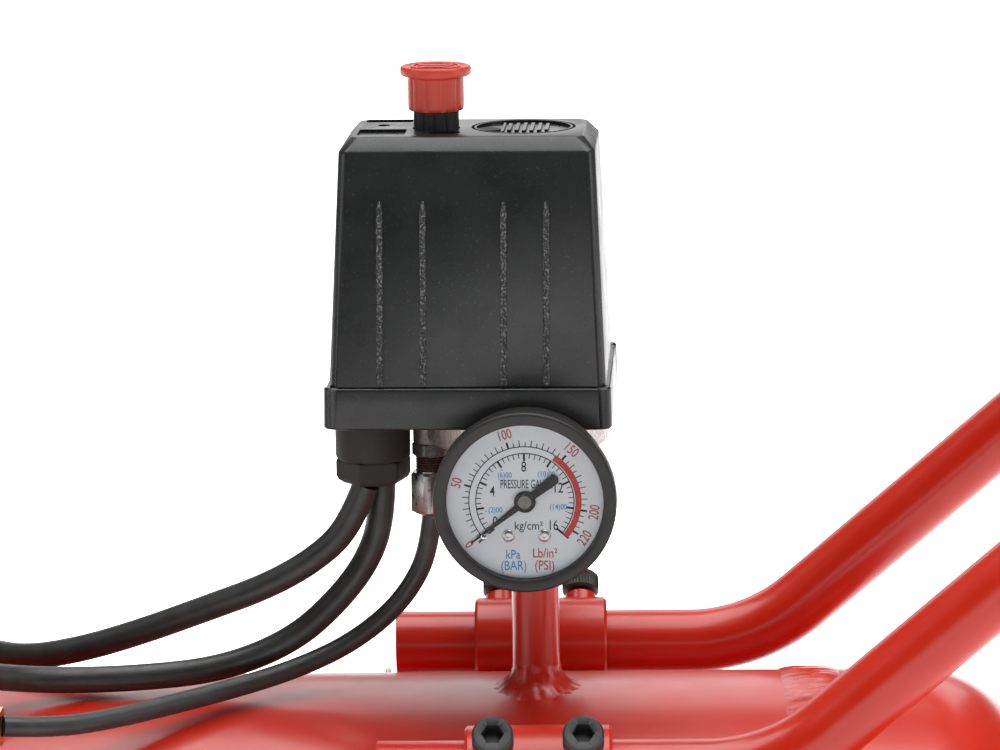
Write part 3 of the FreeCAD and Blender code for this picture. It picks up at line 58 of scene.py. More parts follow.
# ---- places in millimetres, taken from the frame -------------------------------------------------
TANK_LOW, TANK_HIGH = (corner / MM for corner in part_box("tank_shell"))
TANK_TOP = TANK_HIGH.z
TANK_R = (TANK_HIGH.z - TANK_LOW.z) / 2.0
TANK_Z = TANK_LOW.z + TANK_R
RISER_X = 51.0
SWITCH_TURN = math.radians(-2.09)
RISER_PLACE = Matrix.Translation((RISER_X, 0.0, TANK_TOP)) @ Matrix.Rotation(SWITCH_TURN, 4, "Z")
ALONG_X = Matrix.Rotation(math.pi / 2.0, 4, "Y")
ALONG_Y = Matrix.Rotation(-math.pi / 2.0, 4, "X")
FACING_FRONT = Matrix.Rotation(math.pi / 2.0, 4, "X")

# ---- cords: control points from the riser's axis at the tank's top line, in metres ---------------
MAINS_ROUTE = [(-0.0502, -0.0033, 0.0631), (-0.0549, -0.0033, 0.0510), (-0.0645, -0.0030, 0.0412),
               (-0.0795, -0.0015, 0.0322), (-0.0990, 0.0035, 0.0240), (-0.1190, 0.0090, 0.0156),
               (-0.1380, 0.0140, 0.0088), (-0.1560, 0.0200, 0.0044), (-0.1710, 0.0340, 0.0030),
               (-0.1780, 0.0600, -0.0015), (-0.1790, 0.0900, -0.0220), (-0.1780, 0.1150, -0.0520),
               (-0.1760, 0.1300, -0.0920), (-0.1740, 0.1340, -0.1350), (-0.1750, 0.1310, -0.1800),
               (-0.1720, 0.1330, -0.2250), (-0.1630, 0.1310, -0.2660), (-0.1430, 0.1220, -0.2930),
               (-0.1120, 0.1050, -0.2978), (-0.0820, 0.0820, -0.2979), (-0.0560, 0.0600, -0.2977),
               (-0.0320, 0.0500, -0.2978)]
MAINS_TAIL = [(-0.0320, -0.0470, -0.2898), (-0.0490, -0.0550, -0.2905), (-0.0650, -0.0620, -0.2880),
              (-0.0840, -0.0655, -0.2840)]
LEAD_ROUTE = [(-0.0454, 0.0033, 0.0631), (-0.0457, 0.0032, 0.0525), (-0.0495, 0.0026, 0.0397),
              (-0.0590, 0.0010, 0.0270), (-0.0730, -0.0015, 0.0150), (-0.0940, -0.0045, 0.0072),
              (-0.1190, -0.0070, 0.0052), (-0.1440, -0.0095, 0.0054), (-0.1630, -0.0210, 0.0100),
              (-0.1800, -0.0430, 0.0200), (-0.1930, -0.0650, 0.0340), (-0.2060, -0.0780, 0.0480),
              (-0.2190, -0.0825, 0.0610), (-0.2330, -0.0834, 0.0705), (-0.2490, -0.0830, 0.0740)]
AIR_LINE_ROUTE = [(-0.0306, 0.0, 0.0533), (-0.0318, 0.0, 0.0425), (-0.0365, -0.0005, 0.0320),
                  (-0.0445, -0.0015, 0.0225), (-0.0570, -0.0040, 0.0138), (-0.0720, -0.0090, 0.0082),
                  (-0.0885, -0.0170, 0.0050), (-0.1060, -0.0290, 0.0035), (-0.1230, -0.0420, 0.0028),
                  (-0.1390, -0.0540, 0.0036), (-0.1530, -0.0600, 0.0060)]
CORD_R = 4.0
AIR_LINE_R = 3.0
COIL_AT = (24.0, 0.0)
COIL_TURNS = 3.53
COIL_LANES = (50.0, 42.0)
COIL_LEVELS = (4.2, 12.2)
COIL_POINTS = 16


# ---- settings ------------------------------------------------------------------------------------
def colour(name, text, value):
    return FloatVectorProperty(name=name, description=text, default=value, subtype="COLOR", size=3,
                               min=0.0, max=1.0)


def size(name, text, value):
    return FloatProperty(name=name, description=text, default=value * MM, unit="LENGTH", precision=4)


class CompressorFinishes(bpy.types.PropertyGroup):
    paint: colour("Paint", "Powder coat of the tank, handle and brackets", (0.62, 0.020, 0.004))
    housing: colour("Housing", "Moulded switch housing", (0.020, 0.021, 0.021))
    knob: colour("Knob", "Push knob", (0.66, 0.024, 0.006))
    rubber: colour("Rubber", "Cords, tyres and feet", (0.042, 0.042, 0.041))
    dial: colour("Dial", "Printed dial plate", (0.70, 0.74, 0.78))
    casting: colour("Casting", "Cast aluminium of the pump and motor", (0.50, 0.51, 0.52))


class CompressorSizes(bpy.types.PropertyGroup):
    seam_width: size("Seam width", "Width of each seam weld on the tank", 18.0)
    seam_height: size("Seam height", "How far each seam weld stands proud", 1.3)
    cover_edge: size("Cover edge", "Rounding of the housing's outer edges", 0.55)


class CompressorStage(bpy.types.PropertyGroup):
    top_light: FloatProperty(name="Top light", description="Power of the overhead softbox",
                             default=40.0, min=0.0, unit="POWER")
    side_light: FloatProperty(name="Side light", description="Power of each side softbox",
                              default=9.0, min=0.0, unit="POWER")
    floor: colour("Floor", "Colour of the plain floor", (0.90, 0.90, 0.90))
    floor_glow: FloatProperty(name="Floor glow", description="Light that the lit floor gives off",
                              default=0.62, min=0.0)
    far_glow: FloatProperty(name="Far glow", description="Light that the floor gives off behind the machine",
                            default=1.9, min=0.0)
    front_power: FloatProperty(name="Front light", description="Power of the low softbox by the viewer",
                               default=2.2, min=0.0, unit="POWER")
    front_level: FloatProperty(name="Front level", description="Brightness of the room behind the viewer",
                               default=0.50, min=0.0)
    back_level: FloatProperty(name="Back level", description="Brightness of the room behind the machine",
                              default=1.6, min=0.0)
    shadows: BoolProperty(name="Soft shadows", description="Lights cast shadows", default=True)


# ---- finishes ------------------------------------------------------------------------------------
def node(tree, kind, **values):
    made = tree.nodes.new(kind)
    for key, value in values.items():
        setattr(made, key, value)
    return made


def noise(tree, coords, scale, detail=3.0, roughness=0.55):
    made = node(tree, "ShaderNodeTexNoise")
    made.inputs["Scale"].default_value = scale
    made.inputs["Detail"].default_value = detail
    made.inputs["Roughness"].default_value = roughness
    tree.links.new(coords, made.inputs["Vector"])
    return made.outputs["Fac"]


def spread(tree, value, low, high, start=0.35, end=0.65):
    made = node(tree, "ShaderNodeMapRange")
    for name, number in (("From Min", start), ("From Max", end), ("To Min", low), ("To Max", high)):
        made.inputs[name].default_value = number
    tree.links.new(value, made.inputs["Value"])
    return made.outputs["Result"]


def finish(name, tint, roughness, metallic=0.0, coat=0.0, coat_roughness=0.1, mottle=0.12, mottle_scale=60.0,
           grain=0.15, grain_scale=1500.0, grain_depth=0.00004, swing=0.06, stretch=(1.0, 1.0, 1.0),
           specular=0.5, dirt=None, dirt_amount=0.0, dirt_scale=25.0, dirt_from=0.50, dirt_to=0.72):
    """A surface with uneven colour, uneven gloss and a fine grain, all worked out from its own nodes."""
    if name in bpy.data.materials:
        return bpy.data.materials[name]
    made = bpy.data.materials.new(name)
    made.use_nodes = True
    made.diffuse_color = (*tint, 1.0)
    tree = made.node_tree
    shader = tree.nodes["Principled BSDF"]
    shader.inputs["Metallic"].default_value = metallic
    shader.inputs["Coat Weight"].default_value = coat
    shader.inputs["Coat Roughness"].default_value = coat_roughness
    shader.inputs["Specular IOR Level"].default_value = specular
    coords = node(tree, "ShaderNodeTexCoord").outputs["Object"]
    mapping = node(tree, "ShaderNodeMapping")
    mapping.inputs["Scale"].default_value = stretch
    tree.links.new(coords, mapping.inputs["Vector"])
    placed = mapping.outputs["Vector"]
    patches = spread(tree, noise(tree, coords, mottle_scale, 4.0), 1.0 - mottle, 1.0 + mottle)
    tone = node(tree, "ShaderNodeVectorMath", operation="SCALE")
    tone.inputs[0].default_value = tint
    tree.links.new(patches, tone.inputs["Scale"])
    result = tone.outputs[0]
    if dirt:
        mix = node(tree, "ShaderNodeMix", data_type="RGBA")
        mix.inputs[7].default_value = (*dirt, 1.0)
        tree.links.new(result, mix.inputs[6])
        amount = spread(tree, noise(tree, coords, dirt_scale, 6.0, 0.7), 0.0, dirt_amount, dirt_from, dirt_to)
        tree.links.new(amount, mix.inputs[0])
        result = mix.outputs[2]
    tree.links.new(result, shader.inputs["Base Color"])
    gloss = spread(tree, noise(tree, placed, mottle_scale * 3.0, 3.0), roughness - swing, roughness + swing)
    tree.links.new(gloss, shader.inputs["Roughness"])
    bump = node(tree, "ShaderNodeBump")
    bump.inputs["Strength"].default_value = grain
    bump.inputs["Distance"].default_value = grain_depth
    tree.links.new(noise(tree, placed, grain_scale, 2.0), bump.inputs["Height"])
    tree.links.new(bump.outputs["Normal"], shader.inputs["Normal"])
    return made


def settings():
    return bpy.context.scene.compressor_finishes


def paint():
    return finish("red_powder_coat", settings().paint, 0.32, coat=0.30, coat_roughness=0.18, mottle=0.05,
                  mottle_scale=30.0, grain=0.25, grain_scale=300.0, grain_depth=0.00002, swing=0.03)


def weld_paint():
    return finish("painted_weld", settings().paint, 0.34, coat=0.35, coat_roughness=0.16, mottle=0.10,
                  mottle_scale=160.0, grain=0.9, grain_scale=260.0, grain_depth=0.0004, swing=0.08,
                  dirt=(0.20, 0.01, 0.008), dirt_amount=0.35, dirt_scale=120.0)


def housing():
    return finish("moulded_housing", settings().housing, 0.30, mottle=0.12, mottle_scale=25.0, grain=0.35,
                  grain_scale=1700.0, grain_depth=0.00005, swing=0.05, dirt=(0.17, 0.17, 0.17),
                  dirt_amount=0.55, dirt_scale=1300.0, dirt_from=0.60, dirt_to=0.74)


def knob_red():
    return finish("knob_red", settings().knob, 0.20, mottle=0.05, grain=0.15, grain_scale=900.0)


def black_plastic():
    return finish("black_plastic", (0.018, 0.018, 0.018), 0.42, mottle=0.15, grain=0.7, grain_scale=1400.0,
                  grain_depth=0.00006, dirt=(0.05, 0.05, 0.05), dirt_amount=0.25)


def cord_sheath():
    return finish("cord_sheath", settings().rubber, 0.40, mottle=0.2, mottle_scale=120.0, grain=0.4,
                  grain_scale=900.0, grain_depth=0.00005, swing=0.07, dirt=(0.03, 0.03, 0.03),
                  dirt_amount=0.35, dirt_scale=60.0)


def moulded_rubber():
    return finish("moulded_rubber", settings().rubber, 0.62, mottle=0.2, mottle_scale=90.0, grain=0.8,
                  grain_scale=1200.0, grain_depth=0.00008, dirt=(0.06, 0.055, 0.05), dirt_amount=0.35)


def die_casting():
    return finish("die_cast_zinc", (0.56, 0.56, 0.54), 0.48, metallic=1.0, mottle=0.30, mottle_scale=1400.0,
                  grain=0.9, grain_scale=1900.0, grain_depth=0.00012, swing=0.12,
                  dirt=(0.20, 0.20, 0.19), dirt_amount=0.6, dirt_scale=1800.0)


def sand_casting():
    return finish("cast_aluminium", settings().casting, 0.46, metallic=1.0, mottle=0.10, mottle_scale=70.0,
                  grain=0.9, grain_scale=600.0, grain_depth=0.00022, swing=0.09,
                  dirt=(0.22, 0.22, 0.22), dirt_amount=0.35, dirt_scale=40.0)


def cast_iron():
    return finish("cast_iron", (0.055, 0.055, 0.057), 0.50, metallic=0.3, mottle=0.15, mottle_scale=80.0,
                  grain=1.0, grain_scale=700.0, grain_depth=0.00025, swing=0.08)


def plated_steel():
    return finish("zinc_plated_steel", (0.60, 0.60, 0.58), 0.34, metallic=1.0, mottle=0.10,
                  mottle_scale=300.0,
                  grain=0.3, grain_scale=1500.0, grain_depth=0.00002, swing=0.08,
                  dirt=(0.34, 0.34, 0.32), dirt_amount=0.5, dirt_scale=900.0)


def dull_steel():
    return finish("dull_steel", (0.14, 0.14, 0.13), 0.45, metallic=0.7, mottle=0.25, mottle_scale=700.0,
                  grain=0.5, grain_scale=1500.0, swing=0.08)


def machined_steel():
    return finish("machined_steel", (0.56, 0.56, 0.57), 0.30, metallic=1.0, mottle=0.06, grain=0.5,
                  grain_scale=2600.0, grain_depth=0.00003, stretch=(0.05, 1.0, 1.0), swing=0.06)


def bright_plate():
    return finish("bright_plating", (0.74, 0.74, 0.75), 0.16, metallic=1.0, mottle=0.04, grain=0.15,
                  swing=0.05)


def turned_brass():
    return finish("turned_brass", (0.70, 0.50, 0.21), 0.28, metallic=1.0, mottle=0.08, mottle_scale=110.0,
                  grain=0.3, grain_scale=1300.0, swing=0.09, dirt=(0.34, 0.22, 0.09), dirt_amount=0.45,
                  dirt_scale=90.0)


def black_oxide():
    return finish("black_oxide", (0.035, 0.035, 0.036), 0.38, metallic=0.7, mottle=0.2, mottle_scale=140.0,
                  grain=0.4, grain_scale=1000.0, swing=0.08)


def stove_black():
    return finish("stove_black", (0.026, 0.025, 0.024), 0.42, mottle=0.1, grain=0.1, grain_scale=1300.0,
                  swing=0.04,
                  specular=0.4)


def dial_plate():
    return finish("dial_plate", settings().dial, 0.42, mottle=0.025, mottle_scale=40.0, grain=0.1, swing=0.03)


def ink(name, tint):
    return finish(name, tint, 0.45, mottle=0.05, mottle_scale=900.0, grain=0.05, swing=0.02)


def winding_varnish():
    return finish("laminated_core", (0.16, 0.12, 0.10), 0.42, metallic=0.6, mottle=0.12, grain=0.9,
                  grain_scale=1800.0, grain_depth=0.0003, stretch=(1.0, 0.02, 0.02), swing=0.08)


def clear_window():
    made = finish("clear_window", (0.05, 0.05, 0.05), 0.06, mottle=0.01, grain=0.02, swing=0.02)
    made.node_tree.nodes["Principled BSDF"].inputs["Alpha"].default_value = 0.06
    return made


# ---- shapes, in millimetres ----------------------------------------------------------------------
def bridge(bm, first, second):
    count = max(len(first), len(second))
    if count == 1:
        return
    for k in range(count):
        here, there = k, (k + 1) % count
        if len(first) == 1:
            corners = [first[0], second[there], second[here]]
        elif len(second) == 1:
            corners = [first[here], first[there], second[0]]
        else:
            corners = [first[here], first[there], second[there], second[here]]
        bm.faces.new(corners)


def loft(bm, rings, closed=False, caps=True):
    """Joins rings of points; a ring of one point closes to it."""
    made = [[bm.verts.new(point) for point in ring] for ring in rings]
    for first, second in zip(made, made[1:]):
        bridge(bm, first, second)
    if closed:
        bridge(bm, made[-1], made[0])
    elif caps:
        for ring in (made[0], made[-1]):
            if len(ring) > 2:
                bm.faces.new(ring)
    return made


def lathe(bm, outline, place=Matrix(), steps=64, shape=None, closed=False):
    """Turns (radius, height) points about local Z; shape(radius, height, angle) may vary the radius."""
    rings = []
    for radius, height in outline:
        if radius < 1e-6:
            rings.append([place @ Vector((0.0, 0.0, height))])
            continue
        ring = []
        for k in range(steps):
            angle = 2.0 * math.pi * k / steps
            reach = shape(radius, height, angle) if shape else radius
            ring.append(place @ Vector((reach * math.cos(angle), reach * math.sin(angle), height)))
        rings.append(ring)
    return loft(bm, rings, closed)


def at(x, y, z, turn=Matrix()):
    return Matrix.Translation((x, y, z)) @ turn


def rounded_rectangle(half_x, half_y, radius, centre, z, steps=5):
    ring = []
    for corner, (sx, sy) in enumerate(((1, 1), (-1, 1), (-1, -1), (1, -1))):
        for k in range(steps + 1):
            angle = math.pi / 2.0 * (corner + k / steps)
            ring.append(Vector((centre[0] + sx * (half_x - radius) + radius * math.cos(angle),
                                centre[1] + sy * (half_y - radius) + radius * math.sin(angle), z)))
    return ring


def box_shape(bm, x, y, z, radius=1.0, place=Matrix(), steps=4):
    """A block from (low, high) pairs with rounded upright corners."""
    centre = ((x[0] + x[1]) / 2.0, (y[0] + y[1]) / 2.0)
    half = ((x[1] - x[0]) / 2.0, (y[1] - y[0]) / 2.0)
    rings = [rounded_rectangle(*half, radius, centre, height, steps) for height in z]
    loft(bm, [[place @ point for point in ring] for ring in rings])


def hexagon(flats, z, turn):
    corner = flats / math.sqrt(3.0)
    return [Vector((corner * math.cos(math.radians(60.0 * k + turn)),
                    corner * math.sin(math.radians(60.0 * k + turn)), z)) for k in range(6)]


def nut_shape(bm, flats, low, high, place, turn=0.0):
    """A hexagonal nut whose corners are turned down at both ends."""
    flat_r = flats / 2.0

    def reach(radius, height, angle):
        within = (angle - math.radians(turn)) % (math.pi / 3.0) - math.pi / 6.0
        return min(radius, flat_r / math.cos(within))

    corner = flats / math.sqrt(3.0)
    drop = (corner - flat_r) * 0.6
    outline = [(flat_r * 0.97, low), (corner, low + drop), (corner, high - drop), (flat_r * 0.97, high)]
    lathe(bm, outline, place, 48, reach)


def frames_along(points):
    """A turned frame at each point of a path, with no twist."""
    way = (points[1] - points[0]).normalized()
    side = way.orthogonal().normalized()
    frames = []
    for k, point in enumerate(points):
        ahead = points[min(k + 1, len(points) - 1)] - points[max(k - 1, 0)]
        turn = way.rotation_difference(ahead.normalized())
        way = ahead.normalized()
        side = (turn @ side).normalized()
        frames.append((point, side, way.cross(side).normalized()))
    return frames


def swept_ring(frame_at, radius, steps):
    point, side, across = frame_at
    return [point + side * (radius * math.cos(2.0 * math.pi * k / steps))
            + across * (radius * math.sin(2.0 * math.pi * k / steps)) for k in range(steps)]


def tube_shape(bm, points, radius, bore=0.0, steps=32):
    """A round tube along a path, open at both ends where it has a bore."""
    frames = frames_along(points)
    rings = [swept_ring(one, radius, steps) for one in frames]
    if bore:
        rings += [swept_ring(one, bore, steps) for one in reversed(frames)]
    loft(bm, rings, closed=bool(bore))


def bent_points(corners, radii, steps=10):
    """Points of straight runs joined by round bends."""
    points = [corners[0]]
    for k in range(1, len(corners) - 1):
        before = (corners[k - 1] - corners[k]).normalized()
        after = (corners[k + 1] - corners[k]).normalized()
        half = (math.pi - before.angle(after)) / 2.0
        reach = radii[k - 1] * math.tan(half)
        middle = corners[k] + (before + after).normalized() * (radii[k - 1] / math.cos(half))
        start = (corners[k] + before * reach - middle).normalized()
        end = (corners[k] + after * reach - middle).normalized()
        for j in range(steps + 1):
            points.append(middle + start.slerp(end, j / steps) * radii[k - 1])
    points.append(corners[-1])
    return points


# ---- pieces --------------------------------------------------------------------------------------
SHARP_ANGLE = 35.0
WORN_ANGLE = 32.0
EDGE_LIMIT = 28.0
EDGE_SEGMENTS = 3


def mesh_from(name, bm):
    """A mesh in metres from a working mesh in millimetres, which is used up."""
    mesh = bpy.data.meshes.new(name)
    bm.to_mesh(mesh)
    bm.free()
    mesh.transform(Matrix.Scale(MM, 4))
    return mesh


def shade(mesh, degrees):
    mesh.shade_smooth()
    mesh.set_sharp_from_angle(angle=math.radians(degrees))


def round_edges(made, width, segments, degrees):
    bevel = made.modifiers.new("edge", "BEVEL")
    bevel.width = width * MM
    bevel.segments = segments
    bevel.limit_method = "ANGLE"
    bevel.angle_limit = math.radians(degrees)
    bevel.harden_normals = True


def piece(name, bm, material, body="root", replaces=(), edge=0.0, smooth=SHARP_ANGLE):
    """Turns a mesh in millimetres into a piece that rides on a body."""
    bmesh.ops.remove_doubles(bm, verts=bm.verts, dist=1e-5)
    bmesh.ops.recalc_face_normals(bm, faces=bm.faces)
    mesh = mesh_from(name, bm)
    made = bpy.data.objects.new(name, mesh)
    bpy.context.scene.collection.objects.link(made)
    mesh.materials.append(material)
    shade(mesh, smooth)
    if edge:
        round_edges(made, edge, EDGE_SEGMENTS, EDGE_LIMIT)
    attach(made, body)
    if replaces:
        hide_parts(*replaces)
    return made


def cut(target, bm):
    """Takes a closed mesh in millimetres out of a piece, for good."""
    bmesh.ops.recalc_face_normals(bm, faces=bm.faces)
    cutter = bpy.data.objects.new("cutter", mesh_from("cutter", bm))
    bpy.context.scene.collection.objects.link(cutter)
    boolean = target.modifiers.new("cut", "BOOLEAN")
    boolean.object = cutter
    boolean.operation = "DIFFERENCE"
    boolean.solver = "EXACT"
    graph = bpy.context.evaluated_depsgraph_get()
    result = bpy.data.meshes.new_from_object(target.evaluated_get(graph))
    target.modifiers.clear()
    old = target.data
    target.data = result
    bpy.data.meshes.remove(old)
    bpy.data.objects.remove(cutter)
    shade(result, SHARP_ANGLE)


def wear(names, material):
    """Gives frame nodes their finish."""
    for name in names:
        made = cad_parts[name]
        made.data.materials.clear()
        made.data.materials.append(material)
        shade(made.data, WORN_ANGLE)


# ---- stage ---------------------------------------------------------------------------------------
CAMERA_AT = Vector((61.35, -1199.78, 638.76))
CAMERA_AIM = Vector((41.19, 0.0, 397.46))
CAMERA_ROLL = math.radians(-0.73)
CAMERA_LENS = 148.55
FLOOR_HALF = 14000.0
GLOW_DEPTHS = (-0.2, 1.0)     # metres: where the floor's glow starts and ends its rise


def y_of(tree, coordinates):
    """The Y of a shader's own coordinates."""
    split = node(tree, "ShaderNodeSeparateXYZ")
    tree.links.new(node(tree, "ShaderNodeTexCoord").outputs[coordinates], split.inputs[0])
    return split.outputs["Y"]


def softbox(name, power, width, height, place, aim):
    light = bpy.data.lights.new(name, "AREA")
    light.shape = "RECTANGLE"
    light.size = width
    light.size_y = height
    light.energy = power
    light.use_shadow = bpy.context.scene.compressor_stage.shadows
    made = bpy.data.objects.new(name, light)
    made.location = place
    made.rotation_euler = (Vector(aim) - Vector(place)).to_track_quat("-Z", "Y").to_euler()
    bpy.context.scene.collection.objects.link(made)


class COMPRESSOR_OT_stage(bpy.types.Operator):
    """Adds the camera, the plain floor and the soft studio light"""
    bl_idname = "compressor.stage"
    bl_label = "Stage"

    def execute(self, context):
        stage = context.scene.compressor_stage
        self.camera(context)
        self.floor(context, stage)
        for name, power, width, height, place, aim in (
                ("top_light", stage.top_light, 2.2, 1.6, (0.1, 0.15, 2.0), (0.0, 0.0, 0.3)),
                ("right_light", stage.side_light, 0.9, 1.8, (1.9, -0.5, 0.9), (0.05, 0.0, 0.4)),
                ("left_light", stage.side_light, 0.9, 1.8, (-1.9, -0.7, 0.9), (0.0, 0.0, 0.4)),
                ("front_light", stage.front_power, 1.2, 0.5, (0.05, -1.6, 0.35), (0.05, 0.0, 0.38)),
                ("back_light", stage.side_light, 1.8, 1.2, (0.0, 2.2, 1.2), (0.0, 0.0, 0.3))):
            softbox(name, power, width, height, place, aim)
        self.room(context, stage)
        context.scene.view_settings.view_transform = "Standard"
        return {"FINISHED"}

    def camera(self, context):
        way = (CAMERA_AIM - CAMERA_AT).normalized()
        right = way.cross(Vector((0.0, 0.0, 1.0))).normalized()
        up = right.cross(way)
        turned_right = right * math.cos(CAMERA_ROLL) + up * math.sin(CAMERA_ROLL)
        turned_up = up * math.cos(CAMERA_ROLL) - right * math.sin(CAMERA_ROLL)
        data = bpy.data.cameras.new("camera")
        data.lens = CAMERA_LENS
        data.sensor_width = 36.0
        data.clip_end = 100.0
        camera = bpy.data.objects.new("camera", data)
        columns = Matrix((turned_right, turned_up, -way)).transposed().to_4x4()
        camera.matrix_world = Matrix.Translation(CAMERA_AT * MM) @ columns
        context.scene.collection.objects.link(camera)
        context.scene.camera = camera

    def floor(self, context, stage):
        bm = bmesh.new()
        loft(bm, [rounded_rectangle(FLOOR_HALF, FLOOR_HALF, 200.0, (0.0, 0.0), height)
                  for height in (-20.0, 0.0)])
        mesh = mesh_from("floor", bm)
        floor = bpy.data.objects.new("floor", mesh)
        context.scene.collection.objects.link(floor)
        pale = finish("studio_floor", stage.floor, 0.75, mottle=0.004, grain=0.02, swing=0.02, specular=0.2)
        shader = pale.node_tree.nodes["Principled BSDF"]
        shader.inputs["Emission Color"].default_value = (1.0, 1.0, 1.0, 1.0)
        depth = y_of(pale.node_tree, "Object")
        glow = spread(pale.node_tree, depth, stage.floor_glow, stage.far_glow, *GLOW_DEPTHS)
        pale.node_tree.links.new(glow, shader.inputs["Emission Strength"])
        mesh.materials.append(pale)

    def room(self, context, stage):
        world = bpy.data.worlds.new("studio")
        world.use_nodes = True
        tree = world.node_tree
        level = spread(tree, y_of(tree, "Generated"), stage.front_level, stage.back_level, -0.6, 0.7)
        tree.links.new(level, tree.nodes["Background"].inputs["Strength"])
        context.scene.world = world


# ---- cords ---------------------------------------------------------------------------------------
def from_riser(route):
    base = Vector((RISER_X, 0.0, TANK_TOP)) * MM
    return [base + Vector(point) for point in route]


def cord_curve(name, points, radius):
    data = bpy.data.curves.new(name, "CURVE")
    data.dimensions = "3D"
    data.bevel_depth = radius * MM
    data.bevel_resolution = 8
    data.resolution_u = 12
    data.use_fill_caps = True
    spline = data.splines.new("NURBS")
    spline.points.add(len(points) - 1)
    for point, place in zip(spline.points, points):
        point.co = (*place, 1.0)
    spline.order_u = 3
    spline.use_endpoint_u = True
    data.materials.append(cord_sheath())
    made = bpy.data.objects.new(name, data)
    bpy.context.scene.collection.objects.link(made)
    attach(made, "root")
    return made


def eased(value, start, end):
    share = min(max((value - start) / (end - start), 0.0), 1.0)
    return share * share * (3.0 - 2.0 * share)


def coil_points():
    """Turns of the wound length: outer low, inner low, inner high, outer high."""
    points = []
    shrink = 0.75 + 0.25 * math.cos(2.0 * math.pi / COIL_POINTS)
    start = math.radians(95.7)
    outer, inner = COIL_LANES
    low, high = COIL_LEVELS
    for k in range(1, int(COIL_TURNS * COIL_POINTS)):
        turns = k / COIL_POINTS
        inwards = eased(turns, 0.72, 1.0)
        upwards = eased(turns, 1.62, 1.92)
        outwards = eased(turns, 2.50, 2.78)
        radius = outer + (inner - outer) * (inwards - outwards)
        level = low + (high - low) * upwards
        angle = start - 2.0 * math.pi * turns
        points.append(Vector((COIL_AT[0] + radius / shrink * math.cos(angle),
                              COIL_AT[1] + radius / shrink * math.sin(angle), level)) * MM)
    return points


class COMPRESSOR_OT_cords(bpy.types.Operator):
    """Lays the mains cord, the motor lead and the unloader's air line"""
    bl_idname = "compressor.cords"
    bl_label = "Cords"

    def execute(self, context):
        route = from_riser(MAINS_ROUTE) + coil_points() + from_riser(MAINS_TAIL)
        mains = cord_curve("mains_flex", route, CORD_R)
        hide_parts("mains_cord", "mains_cord_coil")
        plug = mains_plug()
        route = from_riser(LEAD_ROUTE)
        lead = cord_curve("motor_flex", route, CORD_R)
        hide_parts("motor_lead")
        route = from_riser(AIR_LINE_ROUTE)
        line = cord_curve("air_line", route, AIR_LINE_R)
        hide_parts("unloader_tube")
        return {"FINISHED"}


def mains_plug():
    """Round two-pin plug with a ribbed strain relief and a finger ring."""
    low, high = (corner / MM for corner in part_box("mains_plug"))
    y, z = (low.y + high.y) / 2.0, (low.z + high.z) / 2.0
    back = high.x
    place = at(back, y, z, Matrix.Rotation(-math.pi / 2.0, 4, "Y"))
    outline = [(0.0, 0.3)]
    for k in range(4):
        wider, further = 0.5 * k, 3.4 * k
        outline += [(5.6 + wider, 0.3 + further), (5.9 + wider, 2.0 + further), (4.9 + wider, 2.4 + further),
                    (4.9 + wider, 3.4 + further)]
    outline += [(9.0, 15.5), (11.6, 20.5), (15.2, 25.0), (17.2, 30.0), (17.6, 33.0), (17.6, 41.0),
                (16.8, 42.4),
                (0.0, 42.4)]
    bm = bmesh.new()
    lathe(bm, outline, place, 48)
    plug = piece("plug_body", bm, black_plastic(), replaces=("mains_plug",), edge=0.5)
    bm = bmesh.new()
    for side in (-1, 1):
        pin = at(back - 42.0, y + side * 9.5, z, Matrix.Rotation(-math.pi / 2.0, 4, "Y"))
        lathe(bm, [(0.0, -2.0), (2.35, -2.0), (2.35, 17.5), (1.6, 19.6), (0.0, 19.8)], pin, 24)
    pins = piece("plug_pins", bm, bright_plate())
    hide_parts("mains_plug")
    return plug


# ---- tank ----------------------------------------------------------------------------------------
SEAM_HALF = 9.0
SEAMS = (TANK_LOW.x - SEAM_HALF, TANK_HIGH.x + SEAM_HALF + 2.0)
WALL = 2.5
HEAD_FLANGE = 33.0
HEAD_DEPTH = 70.0
HEAD_KNUCKLE = 35.0
TANK_AXIS = at(0.0, 0.0, TANK_Z, ALONG_X)


def head_outline(seam, way, wall, steps=14):
    """(radius, x) points of a dished end from its seam to its crown."""
    side = TANK_R - HEAD_KNUCKLE
    crown = (HEAD_DEPTH ** 2 + side ** 2 - HEAD_KNUCKLE ** 2) / (2.0 * (HEAD_DEPTH - HEAD_KNUCKLE))
    knee = seam + way * HEAD_FLANGE
    joint = math.atan2(side, crown - HEAD_DEPTH)
    points = [(TANK_R - wall, seam), (TANK_R - wall, seam + way * HEAD_FLANGE * 0.5)]
    for k in range(steps + 1):
        angle = math.pi / 2.0 + (joint - math.pi / 2.0) * k / steps
        points.append((side + (HEAD_KNUCKLE - wall) * math.sin(angle),
                       knee + way * (HEAD_KNUCKLE - wall) * math.cos(angle)))
    for k in range(1, steps + 1):
        angle = joint * (1.0 - k / steps)
        points.append(((crown - wall) * math.sin(angle),
                       knee + way * (HEAD_DEPTH - crown + (crown - wall) * math.cos(angle))))
    return points


class COMPRESSOR_OT_tank(bpy.types.Operator):
    """Builds the tank's barrel and its two dished ends"""
    bl_idname = "compressor.tank"
    bl_label = "Tank"

    def execute(self, context):
        bm = bmesh.new()
        left, right = SEAMS
        outline = [(TANK_R, left), (TANK_R, right), (TANK_R - WALL, right), (TANK_R - WALL, left)]
        lathe(bm, outline, TANK_AXIS, 160, closed=True)
        piece("tank_barrel", bm, paint(), replaces=("tank_shell",))
        bm = bmesh.new()
        for seam, way in ((left, -1), (right, 1)):
            outer = head_outline(seam, way, 0.0)
            inner = head_outline(seam, way, WALL)
            lathe(bm, outer + list(reversed(inner)), TANK_AXIS, 160, closed=True)
        piece("tank_ends", bm, paint(), replaces=("tank_heads",))
        return {"FINISHED"}


